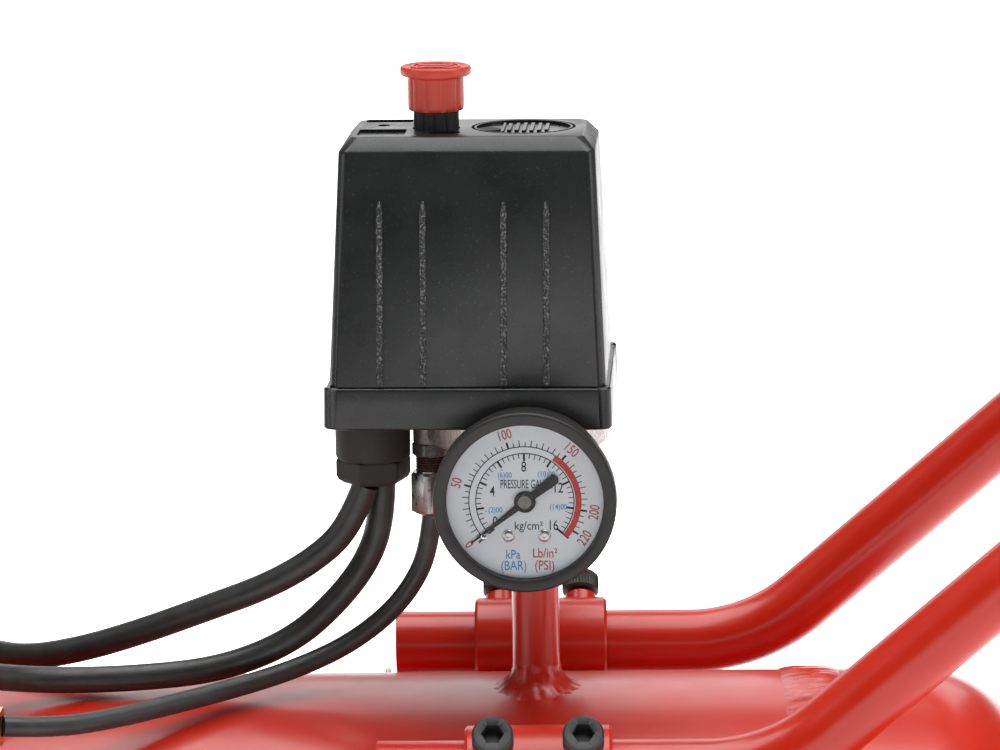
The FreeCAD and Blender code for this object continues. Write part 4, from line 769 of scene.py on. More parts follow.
def ripple(angle, across):
    """Uneven strokes of a hand-run weld."""
    return (0.16 * math.sin(61.0 * angle + 1.4 * math.sin(9.0 * angle) + 2.6 * across)
            + 0.08 * math.sin(143.0 * angle + 3.0 * across) + 0.10 * math.sin(17.0 * angle - 2.0 * across))


def saddle(x, y):
    """Height of the tank's skin at a place beside its top line."""
    return TANK_Z + math.sqrt(max(TANK_R ** 2 - y ** 2, 0.0))


class COMPRESSOR_OT_welds(bpy.types.Operator):
    """Runs the seam welds, the riser's flared weld and the sleeves' fillets"""
    bl_idname = "compressor.welds"
    bl_label = "Welds"

    def execute(self, context):
        sizes = context.scene.compressor_sizes
        half = sizes.seam_width / MM / 2.0
        proud = sizes.seam_height / MM - 0.3
        bm = bmesh.new()
        for seam in SEAMS:
            outline = [(TANK_R - 0.8, seam - half)]
            for k in range(13):
                across = -1.0 + k / 6.0
                outline.append((TANK_R + proud * (1.0 - across ** 4), seam + across * half))
            outline.append((TANK_R - 0.8, seam + half))

            def wavy(radius, height, angle, seam=seam):
                across = (height - seam) / half
                if radius < TANK_R + 0.05:
                    return radius
                return radius + ripple(angle, across) * (1.0 - across ** 2)

            lathe(bm, outline, TANK_AXIS, 720, wavy, closed=True)
        riser_weld(bm)
        for side in (-1, 1):
            sleeve_weld(bm, side)
        piece("welds", bm, weld_paint(), replaces=("weld_beads",), smooth=60.0)
        return {"FINISHED"}


RISER_R = 7.1
RISER_BORE = 4.4
RISER_TOP = 55.0
SOCKET_R = 11.0
THREAD_R = 6.6
CHECK_AT = (-119.0, -60.0)
DRAIN_X = -60.0
SAFETY_LEAN = math.radians(61.0)


def riser_weld(bm):
    """Flare between the tank's skin and the riser pipe."""
    steps = 96
    rings = []
    for k in range(11):
        share = k / 10.0
        ring = []
        for j in range(steps):
            angle = 2.0 * math.pi * j / steps
            wave = 1.0 + 0.05 * math.sin(3.0 * angle + 0.6) + 0.035 * math.sin(7.0 * angle + 2.0)
            reach = 7.0 + (9.6 * wave) * (1.0 - share) ** 2.3
            ripple = 0.22 * math.sin(19.0 * angle + 5.0 * share) * (1.0 - share)
            rise = 10.5 * wave * share ** 1.7 - 0.6 + ripple
            x, y = reach * math.cos(angle), reach * math.sin(angle)
            ring.append(Vector((RISER_X + x, y, saddle(x, y) * (1.0 - share) + TANK_TOP * share + rise)))
        rings.append(ring)
    below = []
    for j in range(steps):
        angle = 2.0 * math.pi * j / steps
        below.append(Vector((RISER_X + 6.9 * math.cos(angle), 6.9 * math.sin(angle), TANK_TOP - 2.6)))
    loft(bm, [below] + rings, closed=True)


def sleeve_weld(bm, side):
    """Fillet that fills the gap between the tank and a handle sleeve."""
    low, high = SLEEVE_X[0] + 2.0, SLEEVE_X[1] - 2.0
    toward = Vector((0.0, side * HANDLE_Y, SLEEVE_Z - TANK_Z)).normalized()
    across = Vector((0.0, toward.z, -toward.y))
    centre = Vector((0.0, 0.0, TANK_Z))
    sleeve_at = Vector((0.0, side * HANDLE_Y, SLEEVE_Z))
    gap_to = (sleeve_at - centre).length - SLEEVE_R
    profile = [(TANK_R - 2.0, 9.0), (TANK_R + 0.2, 7.6), (gap_to * 0.5 + TANK_R * 0.5, 5.2),
               (gap_to + 1.2, 7.4),
               (gap_to + 3.0, 6.0)]
    mirrored = [(depth, -width) for depth, width in reversed(profile)]
    steps = 40
    rings = []
    for k in range(steps + 1):
        x = low + (high - low) * k / steps
        swell = 1.0 + 0.05 * math.sin(1.9 * k) + 0.04 * math.sin(0.7 * k + 1.0)
        end = 0.6 + 0.4 * min(1.0, min(k, steps - k) / 3.0)
        rings.append([centre + toward * depth + across * (width * swell * end) + Vector((x, 0.0, 0.0))
                      for depth, width in profile + mirrored])
    loft(bm, rings)


class COMPRESSOR_OT_riser(bpy.types.Operator):
    """Builds the riser pipe and gives the other sockets their paint"""
    bl_idname = "compressor.riser"
    bl_label = "Riser pipe and sockets"

    def execute(self, context):
        bm = bmesh.new()
        lathe(bm, [(RISER_R, -2.0), (RISER_R, RISER_TOP), (RISER_BORE, RISER_TOP), (RISER_BORE, -2.0)],
              at(RISER_X, 0.0, TANK_TOP), 64, closed=True)
        for place, outline in (
                (at(*CHECK_AT, TANK_TOP), [(SOCKET_R, -20.0), (SOCKET_R, -9.0), (SOCKET_R - 1.0, -8.0),
                                           (THREAD_R, -8.0), (THREAD_R, -20.0)]),
                (at(DRAIN_X, 0.0, 0.0), [(THREAD_R, 50.0), (SOCKET_R, 50.0), (SOCKET_R + 1.0, 51.0),
                                         (SOCKET_R + 1.0, 66.0), (THREAD_R, 66.0)]),
                (at(0.0, 0.0, TANK_Z, Matrix.Rotation(-SAFETY_LEAN, 4, "X")),
                 [(THREAD_R, TANK_R - 3.0), (SOCKET_R, TANK_R - 3.0), (SOCKET_R, TANK_R + 8.0),
                  (SOCKET_R - 1.0, TANK_R + 9.0), (THREAD_R, TANK_R + 9.0)])):
            lathe(bm, outline, place, 48, closed=True)
        piece("sockets", bm, paint(), replaces=("tank_sockets",))
        return {"FINISHED"}


# ---- handle --------------------------------------------------------------------------------------
HANDLE_Y = 72.5
HANDLE_R = 10.0
HANDLE_BORE = 8.5
SLEEVE_X = (31.1, 72.9)
SLEEVE_R = 13.8
SLEEVE_BORE = 10.8
SLEEVE_Z = TANK_TOP - 5.6
HANDLE_Z = TANK_TOP - 6.0
HANDLE_X = (6.0, 119.9, 343.5)
HANDLE_SLOPE = math.radians(40.8)
SCREW_X = (SLEEVE_X[0] + 8.2, SLEEVE_X[1] - 8.2)
SCREW_LEAN = math.radians(45.0)
HANDLE_BENDS = (55.0, 30.0, 30.0, 55.0)
GRIP_HALF = 42.0
GRIP_GROOVES = 11
GRIP_PITCH = 6.0
GRIP_R = 13.5


class COMPRESSOR_OT_handle(bpy.types.Operator):
    """Builds the bent handle tube, its grip and the two welded sleeves"""
    bl_idname = "compressor.handle"
    bl_label = "Handle"

    def execute(self, context):
        start, bend, end = HANDLE_X
        far_z = HANDLE_Z + (end - bend) * math.tan(HANDLE_SLOPE)
        corners = [Vector(point) for point in (
            (start, -HANDLE_Y, HANDLE_Z), (bend, -HANDLE_Y, HANDLE_Z), (end, -HANDLE_Y, far_z),
            (end, HANDLE_Y, far_z), (bend, HANDLE_Y, HANDLE_Z), (start, HANDLE_Y, HANDLE_Z))]
        bm = bmesh.new()
        tube_shape(bm, bent_points(corners, HANDLE_BENDS, 14), HANDLE_R, HANDLE_BORE, 48)
        piece("handle_bar", bm, paint(), "handle", ("handle_tube",), edge=0.4)

        bm = bmesh.new()
        outline = [(HANDLE_R - 0.2, -GRIP_HALF), (GRIP_R - 1.2, -GRIP_HALF), (GRIP_R - 0.1, -GRIP_HALF + 1.2),
                   (GRIP_R, -GRIP_HALF + 5.0)]
        for k in range(GRIP_GROOVES):
            middle = GRIP_PITCH * (k - (GRIP_GROOVES - 1) / 2.0)
            outline += [(GRIP_R, middle - 1.5), (GRIP_R - 0.9, middle - 0.9), (GRIP_R - 0.9, middle + 0.9),
                        (GRIP_R, middle + 1.5)]
        outline += [(GRIP_R, GRIP_HALF - 5.0), (GRIP_R - 0.1, GRIP_HALF - 1.2), (GRIP_R - 1.2, GRIP_HALF),
                    (HANDLE_R - 0.2, GRIP_HALF)]
        lathe(bm, outline, at(end, 0.0, far_z, ALONG_Y), 64, closed=True)
        piece("grip", bm, moulded_rubber(), "handle", ("handle_grip",))

        bm = bmesh.new()
        for side in (-1, 1):
            place = at(0.0, side * HANDLE_Y, SLEEVE_Z, ALONG_X)
            outline = [(SLEEVE_BORE, SLEEVE_X[0]), (SLEEVE_R - 0.9, SLEEVE_X[0]),
                       (SLEEVE_R, SLEEVE_X[0] + 0.9),
                       (SLEEVE_R, SLEEVE_X[1] - 0.9), (SLEEVE_R - 0.9, SLEEVE_X[1]),
                       (SLEEVE_BORE, SLEEVE_X[1])]
            lathe(bm, outline, place, 80, closed=True)
            for x in SCREW_X:
                lathe(bm, [(0.0, SLEEVE_R - 2.5), (5.4, SLEEVE_R - 2.5), (5.0, 16.0), (4.3, 16.7),
                           (3.1, 16.7),
                           (3.1, 15.0), (0.0, 15.0)], screw_place(x, side), 40)
        piece("sleeves", bm, paint(), replaces=("handle_sleeves",))
        return {"FINISHED"}


def screw_place(x, side):
    return at(x, side * HANDLE_Y, SLEEVE_Z, Matrix.Rotation(-side * SCREW_LEAN, 4, "X"))


class COMPRESSOR_OT_clamp_screws(bpy.types.Operator):
    """Builds the four socket-head clamp screws"""
    bl_idname = "compressor.clamp_screws"
    bl_label = "Clamp screws"

    def execute(self, context):
        for side, row in ((-1, "front"), (1, "rear")):
            for x, end in zip(SCREW_X, ("left", "right")):
                name = f"clamp_screw_{row}_{end}"
                bm = bmesh.new()
                place = screw_place(x, side)

                def knurled(radius, height, angle):
                    grip = radius > 5.7 and 18.4 < height < 23.0
                    return radius - (0.16 * (1.0 + math.sin(40.0 * angle)) if grip else 0.0)

                head = [(0.0, 10.9), (2.4, 10.9), (2.95, 11.5), (2.95, 17.4), (5.2, 17.4), (5.85, 18.1),
                        (5.85, 18.5),
                        (5.85, 22.6), (5.85, 23.0), (5.2, 23.8), (3.3, 23.8)]
                made = lathe(bm, head, place, 160, knurled)
                socket_top = hex_ring(2.75, 23.6, place, 160)
                socket_low = hex_ring(2.75, 20.2, place, 160)
                bm.faces.remove([face for face in bm.faces if len(face.verts) == 160][0])
                upper = [bm.verts.new(point) for point in socket_top]
                lower = [bm.verts.new(point) for point in socket_low]
                bridge(bm, made[-1], upper)
                bridge(bm, upper, lower)
                bm.faces.new(lower)
                piece(name + "_detail", bm, black_oxide(), name + "_body", (name,))
        return {"FINISHED"}


def hex_ring(flat_r, z, place, steps):
    ring = []
    for k in range(steps):
        angle = 2.0 * math.pi * k / steps
        within = angle % (math.pi / 3.0) - math.pi / 6.0
        reach = flat_r / math.cos(within)
        ring.append(place @ Vector((reach * math.cos(angle), reach * math.sin(angle), z)))
    return ring


# ---- pressure switch, in riser coordinates -------------------------------------------------------
SWITCH_AT = (-18.0, 7.2)
BASE_Z = (84.75, 97.0)
BASE_HALF = (41.95, 36.0)
BASE_TOP_HALF = (41.3, 35.4)
COLUMN_INSET = 2.6
COVER_FOOT = (40.3, 34.7)
COVER_SHOULDER = (37.4, 22.9)
COVER_CROWN = (33.9, 19.15)
SHOULDER_Z = 164.4
CROWN_Z = 168.4
RIB_X = (-25.4, -12.8, 10.7, 23.1)
RIB_Z = (98.0, 150.5)
RIB_HALF = 0.95
RIB_PROUD = 0.75
RIB_ROOT = 0.8
PLAQUE_AT = (-2.4, 9.3)
PLAQUE_R = 15.4
KNOB_AT = (-28.05, 7.2)
COVER_WALL = 2.4
RECESS = (CROWN_Z - 0.9, CROWN_Z + 2.0)
RECESS_EDGE = 0.28


def switch_ring(half, radius, z, steps=6):
    return [RISER_PLACE @ point for point in rounded_rectangle(*half, radius, SWITCH_AT, z, steps)]


def cutter_block(x, y, z, radius=0.8):
    bm = bmesh.new()
    box_shape(bm, x, y, z, radius, RISER_PLACE, 4)
    return bm


def cutter_disc(centre, radius, low, high):
    bm = bmesh.new()
    outline = [(radius, low), (radius, high), (0.0, high), (0.0, low)]
    lathe(bm, outline, RISER_PLACE @ at(*centre, 0.0), 96)
    return bm


class COMPRESSOR_OT_switch_cover(bpy.types.Operator):
    """Builds the moulded switch cover with its ribs, recesses and round plaque"""
    bl_idname = "compressor.switch_cover"
    bl_label = "Switch cover"

    def execute(self, context):
        edge = context.scene.compressor_sizes.cover_edge / MM
        bm = bmesh.new()
        loft(bm, [switch_ring(COVER_FOOT, 2.0, BASE_Z[1] + 0.05, 1),
                  switch_ring(COVER_SHOULDER, 2.0, SHOULDER_Z, 1),
                  switch_ring(COVER_CROWN, 2.4, CROWN_Z, 1)])
        cover = piece("cover_moulding", bm, housing(), replaces=("switch_cover",),
                      edge=edge, smooth=30.0)
        inside = bmesh.new()
        loft(inside, [switch_ring([side - COVER_WALL for side in half], 1.2, z) for half, z in
                      ((COVER_FOOT, BASE_Z[1] - 0.3), (COVER_SHOULDER, SHOULDER_Z - COVER_WALL),
                       (COVER_CROWN, CROWN_Z - COVER_WALL))])
        cut(cover, inside)
        cut(cover, cutter_disc(KNOB_AT, 7.05, CROWN_Z - 6.0, CROWN_Z + 2.0))
        cut(cover, cutter_disc(PLAQUE_AT, PLAQUE_R, *RECESS))
        left = SWITCH_AT[0] - COVER_CROWN[0]
        cut(cover, cutter_block((left + 2.0, left + 15.9), (19.6, 25.4), RECESS))
        cut(cover, cutter_block((left + 1.4, left + 15.4), (-7.5, 4.8), RECESS))
        cut(cover, cutter_disc((-44.0, 13.0), 1.9, CROWN_Z - 1.6, CROWN_Z + 2.0))
        cut(cover, cutter_block((-31.0, -20.4), (-5.4, 0.0), (CROWN_Z - 1.2, CROWN_Z + 2.0), 2.6))
        round_edges(cover, RECESS_EDGE, 2, 40.0)
        self.ribs()
        self.plaque()
        return {"FINISHED"}

    def ribs(self):
        slope = (COVER_FOOT[1] - COVER_SHOULDER[1]) / (SHOULDER_Z - BASE_Z[1])
        bm = bmesh.new()
        for x in RIB_X:
            rings = []
            for k in range(17):
                share = k / 16.0
                z = RIB_Z[0] + (RIB_Z[1] - RIB_Z[0]) * share
                face = SWITCH_AT[1] - COVER_FOOT[1] + slope * (z - BASE_Z[1])
                near_end = min(1.0, (1.0 - share) * 24.0 + 0.35)
                half = RIB_HALF * near_end
                ring = []
                for j in range(9):
                    angle = math.pi * j / 8.0
                    ring.append((half * math.cos(angle), face - RIB_PROUD * near_end * math.sin(angle)))
                ring += [(-half, face + RIB_ROOT), (half, face + RIB_ROOT)]
                rings.append([RISER_PLACE @ Vector((SWITCH_AT[0] + x + across, y, z)) for across, y in ring])
            loft(bm, rings)
        rough = finish("rough_rib", settings().housing, 0.42, mottle=0.3, mottle_scale=700.0, grain=1.0,
                       grain_scale=1500.0, grain_depth=0.0003, dirt=(0.45, 0.45, 0.45), dirt_amount=0.8,
                       dirt_scale=1500.0, dirt_from=0.5, dirt_to=0.7)
        piece("cover_ribs", bm, rough, smooth=70.0)

    def plaque(self):
        """Raised rim, a small hole and plain upright bars."""
        place = RISER_PLACE @ at(*PLAQUE_AT, CROWN_Z)
        bm = bmesh.new()
        lathe(bm, [(PLAQUE_R - 1.5, -0.95), (PLAQUE_R - 1.5, 0.0), (PLAQUE_R - 1.1, 0.12),
                   (PLAQUE_R - 0.8, 0.0),
                   (PLAQUE_R - 0.8, -0.95)], place, 96, closed=True)
        for k in range(6):
            x = -4.6 + 2.2 * k
            reach = 8.5 - 0.7 * abs(k - 2.5)
            box_shape(bm, (x, x + 1.1), (-reach, reach), (-0.95, 0.05), 0.4, place, 3)
        box_shape(bm, (-6.2, -5.5), (-9.0, 9.0), (-0.95, -0.1), 0.3, place, 3)
        piece("plaque_marks", bm, housing(), edge=0.12)
        bm = bmesh.new()
        hole = RISER_PLACE @ at(-12.5, 7.0, CROWN_Z)
        lathe(bm, [(3.5, -0.95), (3.5, -0.35), (2.9, -0.30), (0.9, -0.55), (0.0, -0.55), (0.0, -0.95)],
              hole, 40)
        piece("plaque_boss", bm, black_plastic())


class COMPRESSOR_OT_switch_base(bpy.types.Operator):
    """Builds the skirt that carries the cover, with its ledge and corner columns"""
    bl_idname = "compressor.switch_base"
    bl_label = "Switch base"

    def execute(self, context):
        low, high = BASE_Z
        bm = bmesh.new()
        rings = [switch_ring([half - 0.7 for half in BASE_HALF], 3.4, low),
                 switch_ring([half - 0.15 for half in BASE_HALF], 3.8, low + 0.35),
                 switch_ring(BASE_HALF, 4.0, low + 0.9),
                 switch_ring([a + 0.25 for a in BASE_TOP_HALF], 4.0, high - 0.9),
                 switch_ring([a + 0.05 for a in BASE_TOP_HALF], 3.9, high - 0.3),
                 switch_ring([a - 0.45 for a in BASE_TOP_HALF], 3.5, high),
                 switch_ring([a - 3.6 for a in BASE_TOP_HALF], 2.4, high),
                 switch_ring([a - 3.8 for a in BASE_TOP_HALF], 2.2, low + 3.0)]
        loft(bm, rings)
        piece("base_moulding", bm, housing(), replaces=("switch_base",), smooth=50.0)
        bm = bmesh.new()
        for sx in (-1, 1):
            for sy in (-1, 1):
                x = SWITCH_AT[0] + sx * (BASE_HALF[0] - COLUMN_INSET)
                y = SWITCH_AT[1] + sy * (BASE_HALF[1] - COLUMN_INSET)
                place = RISER_PLACE @ at(x, y, 0.0)
                lathe(bm, [(0.0, low + 0.3), (2.3, low + 0.3), (2.7, low + 0.8), (2.5, high - 0.3),
                           (2.0, high + 0.25),
                           (0.0, high + 0.3)], place, 32)
        piece("base_columns", bm, housing())
        wear(["switch_mechanism"], plated_steel())
        return {"FINISHED"}


class COMPRESSOR_OT_knob(bpy.types.Operator):
    """Builds the push knob and its grooved stem"""
    bl_idname = "compressor.knob"
    bl_label = "Push knob"

    def execute(self, context):
        place = RISER_PLACE @ at(*KNOB_AT, 0.0)

        def fluted(radius, height, angle):
            if 174.2 < height < 183.9 and radius > 7.0:
                return radius - 0.45 * abs(math.cos(5.0 * angle)) ** 14
            return radius

        bm = bmesh.new()
        outline = [(0.0, 174.3), (7.0, 174.0), (7.9, 173.9), (8.2, 174.3), (8.3, 175.0)]
        outline += [(8.3, 175.0 + 1.4 * k) for k in range(1, 6)]
        outline += [(8.3, 183.4), (8.8, 183.9), (9.7, 184.0), (10.3, 184.35), (10.45, 184.9), (10.45, 186.2),
                    (10.2, 186.75), (9.7, 187.0), (9.1, 186.9), (8.7, 186.6), (0.0, 186.6)]
        lathe(bm, outline, place, 192, fluted)
        for k in range(2):
            box_shape(bm, (-5.2, 5.2), (-3.4 + 4.6 * k, -1.4 + 4.6 * k), (186.4, 187.0), 0.6, place, 3)
        lathe(bm, [(6.6, 186.4), (6.6, 186.95), (7.3, 186.95), (7.3, 186.4)], place, 96, closed=True)
        piece("knob_moulding", bm, knob_red(), "knob", ("knob_cap",), smooth=40.0)

        def grooved(radius, height, angle):
            return radius - (0.45 * max(0.0, math.cos(12.0 * angle)) ** 3 if radius > 5.0 else 0.0)

        bm = bmesh.new()
        lathe(bm, [(0.0, 122.0), (3.0, 122.0), (3.0, 150.0), (6.4, 150.0), (6.7, 150.5), (6.7, 174.2),
                   (0.0, 174.2)],
              place, 144, grooved)
        piece("stem_moulding", bm, black_plastic(), "knob", ("knob_stem",), smooth=40.0)
        return {"FINISHED"}


DIAPHRAGM_X = -4.6
EAR_REACH = 21.0
EAR_ANGLES = (0.6, 2.2, 3.9, 5.4)
GLAND_X = -48.0
GLAND_CORNER = 11.35
GLAND_TURN = 13.3
UNLOADER_X = -30.6


class COMPRESSOR_OT_manifold(bpy.types.Operator):
    """Builds the die-cast diaphragm housing and port block"""
    bl_idname = "compressor.manifold"
    bl_label = "Manifold"

    def execute(self, context):
        bm = bmesh.new()
        disc = RISER_PLACE @ at(DIAPHRAGM_X, 0.0, 0.0)
        lathe(bm, [(0.0, 76.2), (26.0, 76.2), (26.9, 76.7), (27.2, 77.5), (27.2, 83.8), (26.8, 84.5),
                   (0.0, 84.7)], disc, 128)
        box_shape(bm, (-14.0, 14.0), (-15.0, 15.0), (54.0, 76.5), 3.0, RISER_PLACE, 6)
        lathe(bm, [(RISER_R, 51.0), (9.4, 51.0), (10.0, 51.8), (10.0, 54.5), (RISER_R, 54.5)], RISER_PLACE,
              64,
              closed=True)
        for angle in EAR_ANGLES:
            ear = RISER_PLACE @ at(DIAPHRAGM_X + EAR_REACH * math.cos(angle), EAR_REACH * math.sin(angle),
                                   0.0)
            lathe(bm, [(0.0, 74.4), (3.4, 74.4), (3.9, 74.9), (3.9, 76.6), (0.0, 76.6)], ear, 32)
        piece("manifold_casting", bm, die_casting(), replaces=("manifold",), edge=0.8)
        bm = bmesh.new()
        side = RISER_PLACE @ at(14.0, 0.0, 66.6, ALONG_X)
        nut_shape(bm, 12.0, 0.0, 5.0, side, 30.0)
        piece("port_plug", bm, plated_steel())
        return {"FINISHED"}


class COMPRESSOR_OT_gland(bpy.types.Operator):
    """Builds the cable gland and its hexagonal nut"""
    bl_idname = "compressor.gland"
    bl_label = "Cable gland"

    def execute(self, context):
        place = RISER_PLACE @ at(GLAND_X, 0.0, 0.0)
        bm = bmesh.new()
        lathe(bm, [(0.0, 70.5), (10.4, 70.5), (11.0, 71.0), (11.2, 71.7), (11.2, 84.2), (10.9, 84.75),
                   (0.0, 84.75)],
              place, 80)
        piece("gland_body", bm, black_plastic(), replaces=("cable_gland",))
        bm = bmesh.new()
        flats = GLAND_CORNER * math.sqrt(3.0)
        loft(bm, [[place @ point for point in hexagon(flats - narrower, z, GLAND_TURN)]
                  for narrower, z in ((4.4, 63.1), (1.2, 64.3), (0.0, 65.5), (0.0, 70.3), (1.2, 70.9))])
        piece("gland_nut", bm, black_plastic(), edge=0.5)
        return {"FINISHED"}


class COMPRESSOR_OT_unloader(bpy.types.Operator):
    """Builds the unloader valve and the air line's compression nut"""
    bl_idname = "compressor.unloader"
    bl_label = "Unloader valve"

    def execute(self, context):
        place = RISER_PLACE @ at(UNLOADER_X, 0.0, 0.0)
        bm = bmesh.new()
        lathe(bm, [(0.0, 75.2), (5.2, 75.2), (5.4, 75.6), (5.4, 84.6), (0.0, 84.6)], place, 48)
        nut_shape(bm, 10.4, 71.3, 75.4, place, 12.0)
        piece("unloader_body", bm, dull_steel(), replaces=("unloader_valve",))
        bm = bmesh.new()
        outline = [(0.0, 66.4)]
        for k in range(6):
            z = 66.5 + 0.8 * k
            outline += [(4.25, z), (4.8, z + 0.4)]
        outline += [(4.25, 71.4), (0.0, 71.4)]
        lathe(bm, outline, place, 48)
        overspray = finish("oversprayed_thread", (0.09, 0.085, 0.08), 0.42, metallic=0.5, mottle=0.3,
                           mottle_scale=400.0, grain=0.4, dirt=(0.40, 0.03, 0.02), dirt_amount=0.7,
                           dirt_scale=700.0, dirt_from=0.52, dirt_to=0.60)
        piece("unloader_thread", bm, overspray, smooth=20.0)
        bm = bmesh.new()
        nut_shape(bm, 11.4, 54.0, 66.3, place, 24.0)
        lathe(bm, [(0.0, 53.3), (4.0, 53.3), (5.0, 54.3), (0.0, 54.3)], place, 48)
        lathe(bm, [(0.0, 66.0), (4.6, 66.0), (4.6, 66.7), (0.0, 66.7)], place, 48)
        piece("compression_nut", bm, plated_steel())
        return {"FINISHED"}


# ---- gauge ---------------------------------------------------------------------------------------
GAUGE_X = -0.6
PORT_Z = 68.0
GAUGE_FRONT = -50.2
GAUGE_BACK = -32.5
DIAL_Y = -47.8
CASE_R = 25.0
BEZEL_R = 26.4
WINDOW_R = 22.6
DIAL_R = 22.55
GAUGE_PLACE = RISER_PLACE @ at(GAUGE_X, 0.0, PORT_Z, FACING_FRONT)
PRINT = 0.05
SCALE_START = 222.0
SCALE_SWEEP = 263.0
SCALE_FULL = 16.0
PSI = 0.070307
POINTER_ANGLE = math.radians(218.0)


SCALE_RINGS = (14.1, 16.1)
RING_HALF = 0.14
TICK_WIDTHS = {False: 0.25, True: 0.60}
NUMBERS_R = 20.2
# text, height, x, y and the stretch of its width
BLACK_WORDS = (("0", 2.8, -8.6, -6.0, 0.74), ("4", 2.8, -9.3, 2.9, 0.74), ("8", 2.8, -0.2, 10.1, 0.74),
               ("12", 2.8, 9.5, 3.9, 0.74), ("16", 2.8, 8.0, -7.1, 0.74), ("kg/cm²", 2.3, 1.0, -7.2, 0.88),
               ("PRESSURE GAUGE", 2.4, 0.5, 5.0, 0.52))
RED_WORDS = (("Lb/in²", 2.6, 5.6, -15.3, 0.80), ("(PSI)", 2.6, 5.5, -18.9, 0.80))
BLUE_WORDS = (("(2)00", 1.5, -8.5, -2.5, 0.85), ("(6)00", 1.5, -5.7, 7.7, 0.85),
              ("(10)00", 1.5, 6.2, 8.0, 0.85),
              ("(14)00", 1.5, 9.6, -1.6, 0.85), ("kPa", 2.5, -3.6, -15.7, 0.80),
              ("(BAR)", 2.6, -3.4, -19.0, 0.78))
BLUE_DOTS = ((-11.2, -2.9), (-6.5, 9.3), (6.9, 9.3), (11.8, -2.9))


def dial_angle(value):
    return math.radians(SCALE_START - SCALE_SWEEP * value / SCALE_FULL)


def front(depth):
    """Height along the gauge's own axis of a depth in riser coordinates."""
    return -depth


def arc_band(bm, inner, outer, start, end, low, high, steps):
    rings = []
    for k in range(steps + 1):
        angle = start + (end - start) * k / steps
        c, s = math.cos(angle), math.sin(angle)
        rings.append([GAUGE_PLACE @ Vector((r * c, r * s, z)) for r, z in
                      ((inner, low), (outer, low), (outer, high), (inner, high))])
    loft(bm, rings)


def tick(bm, angle, inner, outer, width, low, high):
    turn = GAUGE_PLACE @ Matrix.Rotation(angle, 4, "Z")
    points = [(inner, -width / 2.0), (outer, -width / 2.0), (outer, width / 2.0), (inner, width / 2.0)]
    loft(bm, [[turn @ Vector((x, y, z)) for x, y in points] for z in (low, high)])


def lettering(bm, text, height, place, low, stretch):
    """Adds plain lettering as thin solid print."""
    data = bpy.data.curves.new("lettering", "FONT")
    data.body = text
    data.size = height / 0.66
    data.offset = height * 0.006
    data.align_x = "CENTER"
    data.align_y = "CENTER"
    data.extrude = PRINT / 2.0
    data.resolution_u = 4
    source = bpy.data.objects.new("lettering", data)
    bpy.context.scene.collection.objects.link(source)
    graph = bpy.context.evaluated_depsgraph_get()
    mesh = bpy.data.meshes.new_from_object(source.evaluated_get(graph))
    mesh.transform(place @ Matrix.Translation((0.0, 0.0, low + PRINT / 2.0)) @ Matrix.Scale(stretch, 4,
                                                                                            (1, 0, 0)))
    bm.from_mesh(mesh)
    bpy.data.objects.remove(source)
    bpy.data.curves.remove(data)
    bpy.data.meshes.remove(mesh)


def dial_words(bm, low, words):
    for text, height, x, y, stretch in words:
        lettering(bm, text, height, GAUGE_PLACE @ at(x, y, 0.0), low, stretch)


